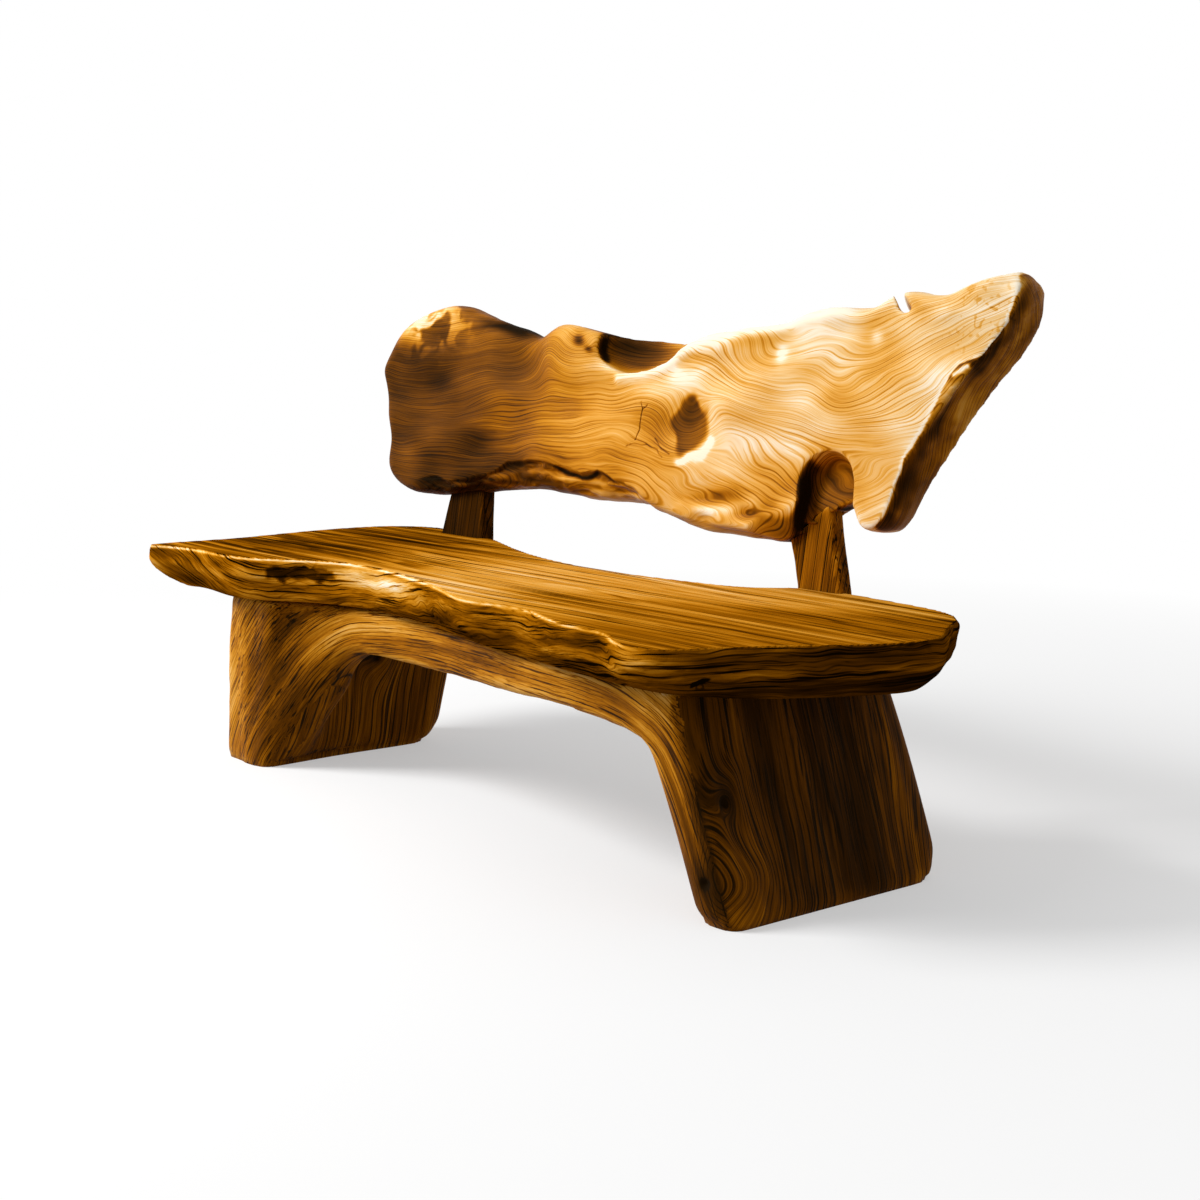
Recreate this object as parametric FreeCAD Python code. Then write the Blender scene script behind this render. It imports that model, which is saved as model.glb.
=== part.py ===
import FreeCAD, Part
import math
import os

# A bench of live-edge slabs: a planed seat with waisted edges, a carved leaning back and a splayed base.
# Millimetres. +X runs along the bench, +Y to its back, +Z up. The floor is Z = 0.

# Seat slab
SEAT_LENGTH = 1848.0
SEAT_DEPTH = 684.0
SEAT_HEIGHT = 440.0
SEAT_THICKNESS = 88.0
SEAT_MID_X = 20.0
SEAT_MID_Y = -44.0
SEAT_RIM_ROUND = 5.0

# The origin lies under the middle of the whole bench, this far from the middle of its drawing
ORIGIN_SHIFT = 9.0

# Legs
LEFT_LEG_SETBACK = 142.0
LEFT_LEG_SPLAY = 40.0
LEFT_LEG_FOOT_THICKNESS = 172.0
LEFT_LEG_TOP_THICKNESS = 180.0
LEFT_LEG_FOOT_DEPTH = 440.0
LEFT_LEG_TOP_DEPTH = 494.0
RIGHT_LEG_SETBACK = 132.0
RIGHT_LEG_SPLAY = 141.0
RIGHT_LEG_FOOT_THICKNESS = 88.0
RIGHT_LEG_TOP_THICKNESS = 123.0
RIGHT_LEG_FOOT_DEPTH = 492.0
RIGHT_LEG_TOP_DEPTH = 484.0
LEG_FRONT_SETBACK = 112.0
LEG_CORNER_RADIUS = 28.0
FOOT_EDGE_INSET = 5.0
FOOT_EDGE_HEIGHT = 8.0
FOOT_HEEL_LENGTH = 50.0
FOOT_HEEL_HEIGHT = 44.0
HEEL_CURVE_RATIO = 0.42

# Front rail between the haunches of the legs, with a tenon at each end
RAIL_THICKNESS = 85.0
RAIL_HEIGHT = 71.0
RAIL_WAIST = 99.0
RAIL_PROUD = 3.0
LEFT_HAUNCH_LENGTH = 72.0
LEFT_HAUNCH_FLARE = 20.0
RIGHT_HAUNCH_LENGTH = 12.0
TENON_LENGTH = 64.0
TENON_ROOT = 5.0
TENON_THICKNESS = 30.0
TENON_HEIGHT = 44.0
TENON_DROP = 18.0
MORTISE_CLEARANCE = 0.3
MORTISE_END_GAP = 0.8

# Pegs down through the rail tenons, and dowels between legs and seat
RAIL_PEG_DIAMETER = 12.0
RAIL_PEG_LENGTH = 78.0
RAIL_PEG_INSET = 38.0
DOWEL_DIAMETER = 22.0
DOWEL_IN_LEG = 50.0
DOWEL_IN_SEAT = 40.0
DOWEL_PITCH = 150.0
BORE_CLEARANCE = 0.2
BORE_END_GAP = 0.8

# Back slab, drawn upright and then leaned
BACK_LENGTH = 1819.0
BACK_WIDTH = 480.0
BACK_THICKNESS = 88.0
BACK_LEAN = 10.0
BACK_GAP = 80.0
BACK_FOOT_INSET = 80.0
BACK_MID_X = -52.5
RECESS_DEPTH = 38.0
POST_SETBACK = 2.0
HOLLOW_PLACE = (-30, 378)
HOLLOW_MIDDLE = 12.0
HOLLOW_HALF_LENGTH = 165.0
HOLLOW_HALF_HEIGHT = 75.0
HOLLOW_HALF_DEPTH = 52.0
HOLLOW_ANGLE = 14.0
EYE_PLACE = (120, 198)
EYE_HALF_LENGTH = 96.0
EYE_HALF_HEIGHT = 54.0
EYE_DEPTH = 13.0
EYE_ANGLE = 8.0
VALLEY_PLACE = (-430, 300)
VALLEY_HALF_LENGTH = 130.0
VALLEY_HALF_HEIGHT = 75.0
VALLEY_DEPTH = 14.0
VALLEY_ANGLE = -30.0

# Posts, in the frame of the leaning back
POST_DEPTH = 38.0
POST_CORNER_RADIUS = 11.0
POST_HOUSING = 70.0
HOUSING_OPENING = 80.0
LEFT_SHOULDER_HEIGHT = 45.0
RIGHT_SHOULDER_HEIGHT = 10.0
RIGHT_SHOULDER_ANGLE = 39.0
POST_TENON_WIDTH = 52.0
POST_TENON_THICKNESS = 18.0
POST_TENON_HEIGHT = 66.0
POST_TENON_ROOT = 50.0
RIGHT_TENON_OFFSET = 14.0
BACK_PEG_DIAMETER = 9.0
BACK_PEG_LENGTH = 42.0
BACK_PEG_PITCH = 26.0
BACK_PEG_DROP = 24.0

# Lag screws through the posts into the seat
SCREW_DIAMETER = 10.0
SCREW_LENGTH = 90.0
SCREW_TIP = 8.0
SCREW_HEAD_FLATS = 17.0
SCREW_HEAD_HEIGHT = 7.0
SCREW_CLEARANCE = 0.4
SCREW_SPREAD = 30.0
SCREW_LOW_RISE = 17.0
SCREW_HIGH_RISE = 45.0
WASHER_DIAMETER = 23.0
WASHER_THICKNESS = 2.0
WASHER_CLEARANCE = 0.5
COUNTERBORE_DEPTH = 18.0
PLUG_GAP = 0.5

# Live edge of the seat, front from left to right and back again: the rim, and below it the underside
SEAT_RIM = [
    (-885, -358, -828, -300), (-745, -322, -740, -294), (-592, -314, -597, -300), (-476, -245, -482, -234),
    (-381, -203, -384, -196), (-168, -214, -165, -194), (40, -268, 50, -229), (165, -302, 169, -256),
    (269, -287, 271, -268), (462, -330, 466, -294), (570, -339, 570, -298), (672, -386, 645, -296),
    (742, -380, 706, -280), (783, -318, 756, -248), (856, -188, 820, -176), (936, -53, 890, -42),
    (944, 27, 900, 16), (892, 110, 856, 90), (828, 204, 808, 176), (667, 253, 660, 232),
    (600, 259, 599, 247), (543, 263, 543, 252), (455, 262, 458, 250), (412, 238, 419, 226),
    (370, 194, 377, 178), (267, 157, 271, 135), (15, 130, 14, 106), (-282, 175, -287, 154),
    (-410, 221, -415, 207), (-510, 259, -513, 248), (-640, 284, -642, 271), (-762, 298, -755, 278),
    (-864, 241, -828, 208), (-904, 125, -844, 120), (-896, -83, -838, -80), (-898, -240, -840, -210),
]

# Depth below the top and part of the undercut, from the underside up
SEAT_EDGE_RATIOS = [(1.0, 1.0), (0.75, 0.42), (0.45, 0.08), (0.14, 0.0)]

# Outline of the back slab: x, height along the slab, inset of the front face and of the back face
BACK_RIM = [
    (-962, 264, 24, 45), (-934, 206, 22, 42), (-911, 150, 20, 40), (-897, 93, 20, 38), (-874, 42, 22, 34),
    (-822, 15, 22, 28), (-736, 8, 25, 20), (-629, 14, 32, 16), (-540, 27, 44, 14), (-445, 40, 56, 12),
    (-344, 47, 62, 10), (-250, 43, 58, 10), (-150, 40, 48, 10), (-40, 40, 34, 12), (52, 27, 20, 12),
    (125, 12, 18, 12), (199, 6, 20, 12), (250, 4, 20, 10), (300, 2, 18, 8), (345, 3, 14, 6),
    (388, 5, 8, 4), (430, 30, 5, 3), (475, 64, 4, 3), (512, 84, 3, 3), (543, 84, 3, 4), (556, 69, 5, 6),
    (573, 46, 7, 6), (597, 38, 6, 6), (620, 47, 5, 8), (637, 68, 4, 8), (648, 106, 3, 6),
    (661, 143, 3, 0), (701, 213, 2, -5), (735, 265, 2, -6), (769, 311, 2, -5), (803, 348, 2, -2),
    (830, 380, 2, 2), (852, 419, 2, 8), (857, 454, 4, 16), (848, 482, 6, 22), (790, 471, 10, 14),
    (734, 456, 12, 12), (692, 443, 13, 12), (640, 451, 12, 12), (587, 450, 12, 12), (538, 430, 14, 12),
    (444, 422, 14, 12), (349, 403, 14, 12), (274, 388, 14, 12), (171, 373, 14, 12), (91, 360, 14, 10),
    (20, 360, 14, 8), (-60, 366, 15, 8), (-140, 366, 16, 8), (-208, 372, 17, 10), (-272, 384, 18, 14),
    (-336, 385, 18, 14), (-393, 364, 18, 8), (-455, 373, 20, 10), (-521, 387, 22, 14), (-618, 410, 24, 18),
    (-684, 427, 24, 25), (-754, 427, 26, 32), (-836, 401, 26, 40), (-900, 359, 26, 45), (-944, 314, 26, 45),
]

# Depth behind the front face and part of the front inset or of the rear inset, through the back slab
BACK_FRONT_RATIOS = [(0.0, 1.0), (0.11, 0.32), (0.3, 0.0)]
BACK_REAR_RATIOS = [(0.72, 0.34), (1.0, 1.0)]

# Inner faces of the two legs under the seat, as the base is drawn
DRAWN_INNER = (-542.0, 548.0)

# Front view of the base: the underside of haunch, rail and corner, as x and height
ARCH = [
    (-606, -2), (-545, 69), (-511, 120), (-470, 177), (-430, 226), (-385, 252), (-330, 260), (-191, 260),
    (-31, 266), (175, 276), (381, 281), (490, 276), (560, 271), (592, 265), (612, 252), (628, 228),
    (659, 180), (710, 80), (748, -2),
]

# Top view of the base: its front face, waisted like the seat above it
BASE_FRONT = [
    (-680, -277), (-620, -274), (-545, -247), (-470, -214), (-400, -190), (-325, -180), (-204, -178),
    (-65, -193), (82, -220), (215, -246), (355, -266), (520, -274), (640, -277), (700, -277),
]

# Bevel and blind notch over the right post: where they open on the front face, and the same points at depth
RECESS_MOUTH = [
    (306, 19), (364, 53), (424, 80), (417, 112), (422, 138), (449, 159), (479, 167), (508, 164), (530, 148),
    (540, 120), (552, 76), (580, -60), (440, -110), (300, -60),
]
RECESS_FLOOR = [
    (326, -22), (366, -14), (410, 22), (430, 88), (438, 122), (456, 140), (479, 147), (502, 144), (519, 130),
    (527, 108), (536, 72), (566, -60), (440, -110), (322, -60),
]

# Small torn notch in the top edge of the back, where it opens on the front face
JAG = [(588, 470), (592, 440), (604, 424), (619, 410), (638, 421), (624, 432), (612, 446), (612, 470)]

# The tear runs on to the left as it goes back through the slab: sideways for each part of depth
JAG_SLANT = 0.93

# Faces of the posts at rising heights in the frame of the leaning back: height, left x, right x
LEFT_POST = [(-150, -700, -538), (-73, -696, -540), (25, -680, -560), (60, -677, -563)]
RIGHT_POST = [(-150, 416, 528), (-73, 411, 524), (4, 380, 494), (110, 345, 462)]

# A live edge is divided into faces of this many points
POINTS_PER_FACE = 6


def vec(x, y, z):
    return FreeCAD.Vector(x, y, z)


def span(points, axis):
    values = [p[axis] for p in points]
    return max(values) - min(values)


def middle(points, axis):
    values = [p[axis] for p in points]
    return (max(values) + min(values)) / 2


def seat_x(x):
    """Moves a drawn x with the length of the seat."""
    return SEAT_MID_X + (x - middle(SEAT_RIM, 0)) * SEAT_LENGTH / span(SEAT_RIM, 0)


def seat_y(y):
    """Moves a drawn y with the depth of the seat."""
    return SEAT_MID_Y + (y - middle(SEAT_RIM, 1)) * SEAT_DEPTH / span(SEAT_RIM, 1)


def inset_points(outline, insets):
    """Each point of an anticlockwise outline, moved inwards by its inset."""
    moved = []
    count = len(outline)
    for i, (a, b) in enumerate(outline):
        before = outline[i - 1]
        after = outline[(i + 1) % count]
        along = (after[0] - before[0], after[1] - before[1])
        size = math.hypot(*along)
        moved.append((a - along[1] / size * insets[i], b + along[0] / size * insets[i]))
    return moved


def chord_knots(outline):
    """Parameters that follow the distance round a closed outline."""
    knots = [0.0]
    for i, point in enumerate(outline):
        knots.append(knots[-1] + math.dist(point, outline[(i + 1) % len(outline)]))
    return [k / knots[-1] for k in knots]


def closed_wire(points, knots):
    curve = Part.BSplineCurve()
    curve.interpolate(Points=points, PeriodicFlag=True, Parameters=knots)
    return Part.Wire([curve.toShape()])


def slab_through(sections):
    """A solid with a live edge that runs through closed curves, its edge divided into several faces."""
    surface = Part.makeLoft(sections, False, False).Faces[0].Surface
    low, high = surface.bounds()[2:]
    knots = surface.getUKnots()
    stops = knots[:-1:POINTS_PER_FACE] + knots[-1:]
    ranges = list(zip(stops, stops[1:]))
    faces = [surface.toShape(a, b, low, high) for a, b in ranges]
    for end in (low, high):
        rim = surface.vIso(end)
        faces.append(Part.Face(Part.Wire([rim.toShape(a, b) for a, b in ranges])))
    shell = Part.makeShell(faces)
    shell.sewShape()
    slab = Part.makeSolid(shell)
    return slab if slab.Volume > 0 else slab.reversed()


def open_edge(points):
    curve = Part.BSplineCurve()
    curve.interpolate(Points=points)
    return curve.toShape()


def prism(points, direction):
    """A solid with flat sides between two flat ends."""
    return Part.Face(Part.makePolygon(points + points[:1])).extrude(direction)


def cylinder(radius, height, base, axis):
    return Part.makeCylinder(radius, height, base, axis)


def ellipsoid(centre, half_x, half_y, half_z, tilt):
    """A ball stretched along its axes and turned about the thickness of the slab."""
    stretch = FreeCAD.Matrix()
    stretch.scale(half_x, half_y, half_z)
    ball = Part.makeSphere(1.0).transformGeometry(stretch)
    ball.rotate(vec(0, 0, 0), vec(0, 1, 0), -tilt)
    ball.translate(centre)
    return ball


def dish(x, z, half_x, half_z, depth, tilt):
    """A shallow ellipsoid that dips into the front face by its depth and opens on it by its two halves."""
    return ellipsoid(vec(x, -1.5 * depth, z), half_x / 0.8, 2.5 * depth, half_z / 0.8, tilt)


# The leaning frame: x along the bench, y through the slab from its front face, z up the slab
SEAT_BACK = SEAT_MID_Y + SEAT_DEPTH / 2
BACK_FOOT_Y = SEAT_BACK - BACK_FOOT_INSET
BACK_FOOT_HEIGHT = SEAT_HEIGHT + BACK_GAP
POST_FOOT = -BACK_GAP - POST_HOUSING
SEAT_UNDERSIDE = SEAT_HEIGHT - SEAT_THICKNESS
POST_FRONT = RECESS_DEPTH + POST_SETBACK
POST_BACK = POST_FRONT + POST_DEPTH
POST_TENON_FRONT = POST_FRONT + (POST_DEPTH - POST_TENON_THICKNESS) / 2


def lean(shape):
    leaned = shape.copy()
    leaned.rotate(vec(0, 0, 0), vec(1, 0, 0), -BACK_LEAN)
    leaned.translate(vec(0, BACK_FOOT_Y, BACK_FOOT_HEIGHT))
    return leaned


def post_shift(post):
    """Keeps a post over its own leg when the seat's length changes."""
    drawn = (post[0][1] + post[0][2]) / 2
    return seat_x(drawn) - drawn


LEFT_SHIFT = post_shift(LEFT_POST)
RIGHT_SHIFT = post_shift(RIGHT_POST)


def seat_blank():
    rim = [(seat_x(p[0]), seat_y(p[1])) for p in SEAT_RIM]
    under = [(seat_x(p[2]), seat_y(p[3])) for p in SEAT_RIM]
    knots = chord_knots(rim)
    sections = []
    for depth, share in SEAT_EDGE_RATIOS:
        height = SEAT_HEIGHT - SEAT_THICKNESS * depth
        level = []
        for (xr, yr), (xu, yu) in zip(rim, under):
            level.append(vec(xr + (xu - xr) * share, yr + (yu - yr) * share, height))
        sections.append(closed_wire(level, knots))
    top = inset_points(rim, [SEAT_RIM_ROUND] * len(rim))
    sections.append(closed_wire([vec(x, y, SEAT_HEIGHT) for x, y in top], knots))
    return slab_through(sections)


def rounded_section(x0, x1, y0, y1, z, radius):
    """A rectangle with round corners at one height."""
    r = radius
    corners = [((x1 - r, y0 + r), -1), ((x1 - r, y1 - r), 0), ((x0 + r, y1 - r), 1), ((x0 + r, y0 + r), 2)]
    arcs = []
    for (cx, cy), turn in corners:
        a = math.radians(90 * turn)
        points = []
        for step in (0, 45, 90):
            b = a + math.radians(step)
            points.append(vec(cx + r * math.cos(b), cy + r * math.sin(b), z))
        arcs.append(Part.Arc(*points).toShape())
    edges = []
    for i, arc in enumerate(arcs):
        edges.append(arc)
        following = arcs[(i + 1) % 4]
        edges.append(Part.makeLine(arc.Vertexes[-1].Point, following.Vertexes[0].Point))
    return Part.Wire(edges)


def leg_panel(foot, top):
    """A leg board between the floor and the seat, its edge eased at the floor and its heel rounded off."""
    levels = (
        (0.0, FOOT_EDGE_INSET, FOOT_HEEL_LENGTH),
        (FOOT_EDGE_HEIGHT, 0.0, FOOT_HEEL_LENGTH * HEEL_CURVE_RATIO),
        (FOOT_HEEL_HEIGHT, 0.0, 0.0),
        (SEAT_UNDERSIDE, 0.0, 0.0),
    )
    sections = []
    for height, inset, heel in levels:
        share = height / SEAT_UNDERSIDE
        x0, x1, y0, y1 = [f + (t - f) * share for f, t in zip(foot, top)]
        radius = LEG_CORNER_RADIUS - inset
        rear = y1 - inset - heel
        sections.append(rounded_section(x0 + inset, x1 - inset, y0 + inset, rear, height, radius))
    return Part.makeLoft(sections, True, True)


LEG_FRONT = SEAT_MID_Y - SEAT_DEPTH / 2 + LEG_FRONT_SETBACK
LEFT_OUTER = SEAT_MID_X - SEAT_LENGTH / 2 + LEFT_LEG_SETBACK
RIGHT_OUTER = SEAT_MID_X + SEAT_LENGTH / 2 - RIGHT_LEG_SETBACK
LEFT_INNER = LEFT_OUTER + LEFT_LEG_SPLAY + LEFT_LEG_TOP_THICKNESS
RIGHT_INNER = RIGHT_OUTER - RIGHT_LEG_SPLAY - RIGHT_LEG_TOP_THICKNESS
LEFT_JOINT = LEFT_INNER + LEFT_HAUNCH_LENGTH
RIGHT_JOINT = RIGHT_INNER - RIGHT_HAUNCH_LENGTH
TENON_TOP = SEAT_UNDERSIDE - TENON_DROP


def base_x(x):
    """Moves a drawn x of the base with the legs: stretched between them, shifted beyond them."""
    left, right = DRAWN_INNER
    if x <= left:
        return x - left + LEFT_INNER
    if x >= right:
        return x - right + RIGHT_INNER
    return LEFT_INNER + (x - left) * (RIGHT_INNER - LEFT_INNER) / (right - left)


def base_y(y):
    """Moves a drawn y of the base with the front of the legs and the waist of the rail."""
    drawn_front = min(p[1] for p in BASE_FRONT)
    return LEG_FRONT - RAIL_PROUD + (y - drawn_front) * RAIL_WAIST / span(BASE_FRONT, 1)


def arch_height(z):
    """Moves a drawn height of the arch with its crown under the rail."""
    return z * (SEAT_UNDERSIDE - RAIL_HEIGHT) / max(p[1] for p in ARCH)


def base_block(x0, x1, flare):
    """The part of haunch and rail between two x, from its top view and its front view."""
    below = -FOOT_HEEL_HEIGHT
    front = [vec(base_x(x), base_y(y), below) for x, y in BASE_FRONT]
    rear = [p + vec(0, RAIL_THICKNESS + flare, 0) for p in reversed(front)]
    plan = Part.Wire(
        [
            open_edge(front),
            Part.makeLine(front[-1], rear[0]),
            open_edge(rear),
            Part.makeLine(rear[-1], front[0]),
        ]
    )
    from_above = Part.Face(plan).extrude(vec(0, 0, SEAT_UNDERSIDE - below))
    ahead = SEAT_MID_Y - SEAT_DEPTH
    arch = [vec(base_x(x), ahead, arch_height(z)) for x, z in ARCH]
    left, right = arch[0], arch[-1]
    outer = SEAT_LENGTH / 4
    view = Part.Wire(
        [
            open_edge(arch),
            Part.makePolygon(
                [
                    right,
                    vec(right.x + outer, ahead, right.z),
                    vec(right.x + outer, ahead, SEAT_UNDERSIDE),
                    vec(left.x - outer, ahead, SEAT_UNDERSIDE),
                    vec(left.x - outer, ahead, left.z),
                    left,
                ]
            ),
        ]
    )
    from_front = Part.Face(view).extrude(vec(0, 2 * SEAT_DEPTH, 0))
    slice_box = Part.makeBox(x1 - x0, 2 * SEAT_DEPTH, SEAT_UNDERSIDE, vec(x0, ahead, 0))
    return from_above.common(from_front).common(slice_box)


def rail_middle(x):
    """Middle of the rail's thickness at x."""
    for (xa, ya), (xb, yb) in zip(BASE_FRONT, BASE_FRONT[1:]):
        xa, xb = base_x(xa), base_x(xb)
        if xa <= x <= xb:
            return base_y(ya + (yb - ya) * (x - xa) / (xb - xa)) + RAIL_THICKNESS / 2
    return base_y(BASE_FRONT[0][1]) + RAIL_THICKNESS / 2


def rail_tenon(joint, way, extra, end):
    """A tenon at one end of the rail, or with clearances its mortise."""
    length = TENON_LENGTH + end + TENON_ROOT
    x0 = joint - TENON_ROOT if way > 0 else joint - TENON_LENGTH - end
    y0 = rail_middle(joint) - TENON_THICKNESS / 2 - extra
    z0 = TENON_TOP - TENON_HEIGHT - extra
    return Part.makeBox(length, TENON_THICKNESS + 2 * extra, TENON_HEIGHT + 2 * extra, vec(x0, y0, z0))


def rail_pegs(extra, end):
    """Pegs driven down from the top of each leg through the rail's tenons."""
    pegs = []
    for joint, way in ((LEFT_JOINT, -1), (RIGHT_JOINT, 1)):
        foot = vec(joint + way * RAIL_PEG_INSET, rail_middle(joint), SEAT_UNDERSIDE - RAIL_PEG_LENGTH - end)
        pegs.append(cylinder(RAIL_PEG_DIAMETER / 2 + extra, RAIL_PEG_LENGTH + end, foot, vec(0, 0, 1)))
    return pegs


def leg_dowels(x, depth, extra, end):
    """Upright dowels in a row between the top of a leg and the seat."""
    dowels = []
    for step in (-1, 0, 1):
        foot = vec(x, LEG_FRONT + depth / 2 + step * DOWEL_PITCH, SEAT_UNDERSIDE - DOWEL_IN_LEG - end)
        length = DOWEL_IN_LEG + DOWEL_IN_SEAT + 2 * end
        dowels.append(cylinder(DOWEL_DIAMETER / 2 + extra, length, foot, vec(0, 0, 1)))
    return dowels


def all_dowels(extra, end):
    left = leg_dowels(LEFT_INNER - LEFT_LEG_TOP_THICKNESS / 2, LEFT_LEG_TOP_DEPTH, extra, end)
    right = leg_dowels(RIGHT_INNER + RIGHT_LEG_TOP_THICKNESS / 2, RIGHT_LEG_TOP_DEPTH, extra, end)
    return left + right


def left_leg():
    top_outer = LEFT_OUTER + LEFT_LEG_SPLAY
    foot = (LEFT_OUTER, LEFT_OUTER + LEFT_LEG_FOOT_THICKNESS, LEG_FRONT, LEG_FRONT + LEFT_LEG_FOOT_DEPTH)
    top = (top_outer, LEFT_INNER, LEG_FRONT, LEG_FRONT + LEFT_LEG_TOP_DEPTH)
    haunch = base_block(LEFT_OUTER + LEFT_LEG_FOOT_THICKNESS / 2, LEFT_JOINT, LEFT_HAUNCH_FLARE)
    return leg_panel(foot, top).fuse(haunch).removeSplitter()


def right_leg():
    top_outer = RIGHT_OUTER - RIGHT_LEG_SPLAY
    foot = (RIGHT_OUTER - RIGHT_LEG_FOOT_THICKNESS, RIGHT_OUTER, LEG_FRONT, LEG_FRONT + RIGHT_LEG_FOOT_DEPTH)
    top = (RIGHT_INNER, top_outer, LEG_FRONT, LEG_FRONT + RIGHT_LEG_TOP_DEPTH)
    corner = base_block(RIGHT_JOINT, RIGHT_INNER + RIGHT_LEG_TOP_THICKNESS / 2, 0)
    return leg_panel(foot, top).fuse(corner).removeSplitter()


def front_rail():
    rail = base_block(LEFT_JOINT, RIGHT_JOINT, 0)
    return rail.fuse([rail_tenon(LEFT_JOINT, -1, 0, 0), rail_tenon(RIGHT_JOINT, 1, 0, 0)]).removeSplitter()


def post_body(faces, shift, extra, behind):
    """A post from its foot to its highest drawn section, with room around and behind it for a housing."""
    stretch = POST_FOOT - faces[0][0]
    sections = []
    for i, (height, left, right) in enumerate(faces):
        z = height + (stretch if i == 0 else 0) - (extra if i == 0 else 0)
        sections.append(
            rounded_section(
                left + shift - extra,
                right + shift + extra,
                POST_FRONT,
                POST_BACK + behind,
                z,
                POST_CORNER_RADIUS,
            )
        )
    return Part.makeLoft(sections, True, True)


def above_line(x, z, angle):
    """Everything over a sloping line, to cut the shoulder of a post."""
    a = math.radians(angle)
    along = vec(math.cos(a), 0, math.sin(a)) * BACK_WIDTH
    up = vec(-math.sin(a), 0, math.cos(a)) * BACK_WIDTH
    place = vec(x, -BACK_THICKNESS, z)
    corners = [place - along, place + along, place + along + up, place - along + up]
    return prism(corners, vec(0, 3 * BACK_THICKNESS, 0))


LEFT_MIDDLE = (LEFT_POST[2][1] + LEFT_POST[2][2]) / 2 + LEFT_SHIFT
RIGHT_MIDDLE = (RIGHT_POST[2][1] + RIGHT_POST[2][2]) / 2 + RIGHT_SHIFT - RIGHT_TENON_OFFSET
RIGHT_RISE = (RIGHT_MIDDLE - RIGHT_POST[2][1] - RIGHT_SHIFT) * math.tan(math.radians(RIGHT_SHOULDER_ANGLE))
LEFT_TENON_TOP = LEFT_SHOULDER_HEIGHT + POST_TENON_HEIGHT
RIGHT_TENON_TOP = RIGHT_SHOULDER_HEIGHT + RIGHT_RISE + POST_TENON_HEIGHT


def left_post_blank(extra, behind=0):
    cut = above_line(LEFT_MIDDLE, LEFT_SHOULDER_HEIGHT, 0)
    return post_body(LEFT_POST, LEFT_SHIFT, extra, behind).cut(cut)


def right_post_blank(extra, behind=0):
    cut = above_line(RIGHT_POST[2][1] + RIGHT_SHIFT, RIGHT_SHOULDER_HEIGHT, RIGHT_SHOULDER_ANGLE)
    return post_body(RIGHT_POST, RIGHT_SHIFT, extra, behind).cut(cut)


def post_tenon(x, top, extra, end):
    """The tongue on top of a post, or with clearances its mortise."""
    height = POST_TENON_HEIGHT + POST_TENON_ROOT
    return Part.makeBox(
        POST_TENON_WIDTH + 2 * extra,
        POST_TENON_THICKNESS + 2 * extra,
        height + end,
        vec(x - POST_TENON_WIDTH / 2 - extra, POST_TENON_FRONT - extra, top - height),
    )


def back_pegs(extra, end):
    """Pegs from the back of the slab through the tenons of the posts."""
    pegs = []
    for x, top in ((LEFT_MIDDLE, LEFT_TENON_TOP), (RIGHT_MIDDLE, RIGHT_TENON_TOP)):
        for side in (-0.5, 0.5):
            foot = vec(x + side * BACK_PEG_PITCH, BACK_THICKNESS - BACK_PEG_LENGTH - end, top - BACK_PEG_DROP)
            pegs.append(cylinder(BACK_PEG_DIAMETER / 2 + extra, BACK_PEG_LENGTH + end, foot, vec(0, 1, 0)))
    return pegs


def screw_places():
    """Where the lag screws stand: two to each post, one lower and one higher."""
    places = []
    for post, shift in ((LEFT_POST, LEFT_SHIFT), (RIGHT_POST, RIGHT_SHIFT)):
        x = (post[1][1] + post[1][2]) / 2 + shift
        places.append((x - SCREW_SPREAD, POST_FOOT + SCREW_LOW_RISE))
        places.append((x + SCREW_SPREAD, POST_FOOT + SCREW_HIGH_RISE))
    return places


COUNTERBORE_DIAMETER = WASHER_DIAMETER + 2 * WASHER_CLEARANCE
BORE_FLOOR = POST_BACK - COUNTERBORE_DEPTH
HEAD_SEAT = BORE_FLOOR + WASHER_THICKNESS


def lag_screw(x, z):
    shank = cylinder(SCREW_DIAMETER / 2, SCREW_LENGTH - SCREW_TIP, vec(x, HEAD_SEAT, z), vec(0, -1, 0))
    tip_base = vec(x, HEAD_SEAT - SCREW_LENGTH + SCREW_TIP, z)
    tip = Part.makeCone(SCREW_DIAMETER / 2, 1.0, SCREW_TIP, tip_base, vec(0, -1, 0))
    radius = SCREW_HEAD_FLATS / math.sqrt(3)
    corners = []
    for i in range(6):
        a = math.radians(60 * i)
        corners.append(vec(x + radius * math.cos(a), HEAD_SEAT, z + radius * math.sin(a)))
    head = prism(corners, vec(0, SCREW_HEAD_HEIGHT, 0))
    return head.fuse([shank, tip]).removeSplitter()


def screw_bore(x, z):
    """Clearance for the whole length of a screw, open to the counterbore."""
    base = vec(x, HEAD_SEAT, z)
    length = SCREW_LENGTH + BORE_END_GAP
    return cylinder(SCREW_DIAMETER / 2 + SCREW_CLEARANCE / 2, length, base, vec(0, -1, 0))


def washer(x, z):
    disc = cylinder(WASHER_DIAMETER / 2, WASHER_THICKNESS, vec(x, BORE_FLOOR, z), vec(0, 1, 0))
    return disc.cut(screw_bore(x, z))


def plug(x, z):
    start = HEAD_SEAT + SCREW_HEAD_HEIGHT + PLUG_GAP
    radius = COUNTERBORE_DIAMETER / 2 - BORE_CLEARANCE / 2
    return cylinder(radius, POST_BACK - start, vec(x, start, z), vec(0, 1, 0))


def counterbore(x, z):
    return cylinder(COUNTERBORE_DIAMETER / 2, 2 * COUNTERBORE_DEPTH, vec(x, BORE_FLOOR, z), vec(0, 1, 0))


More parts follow.
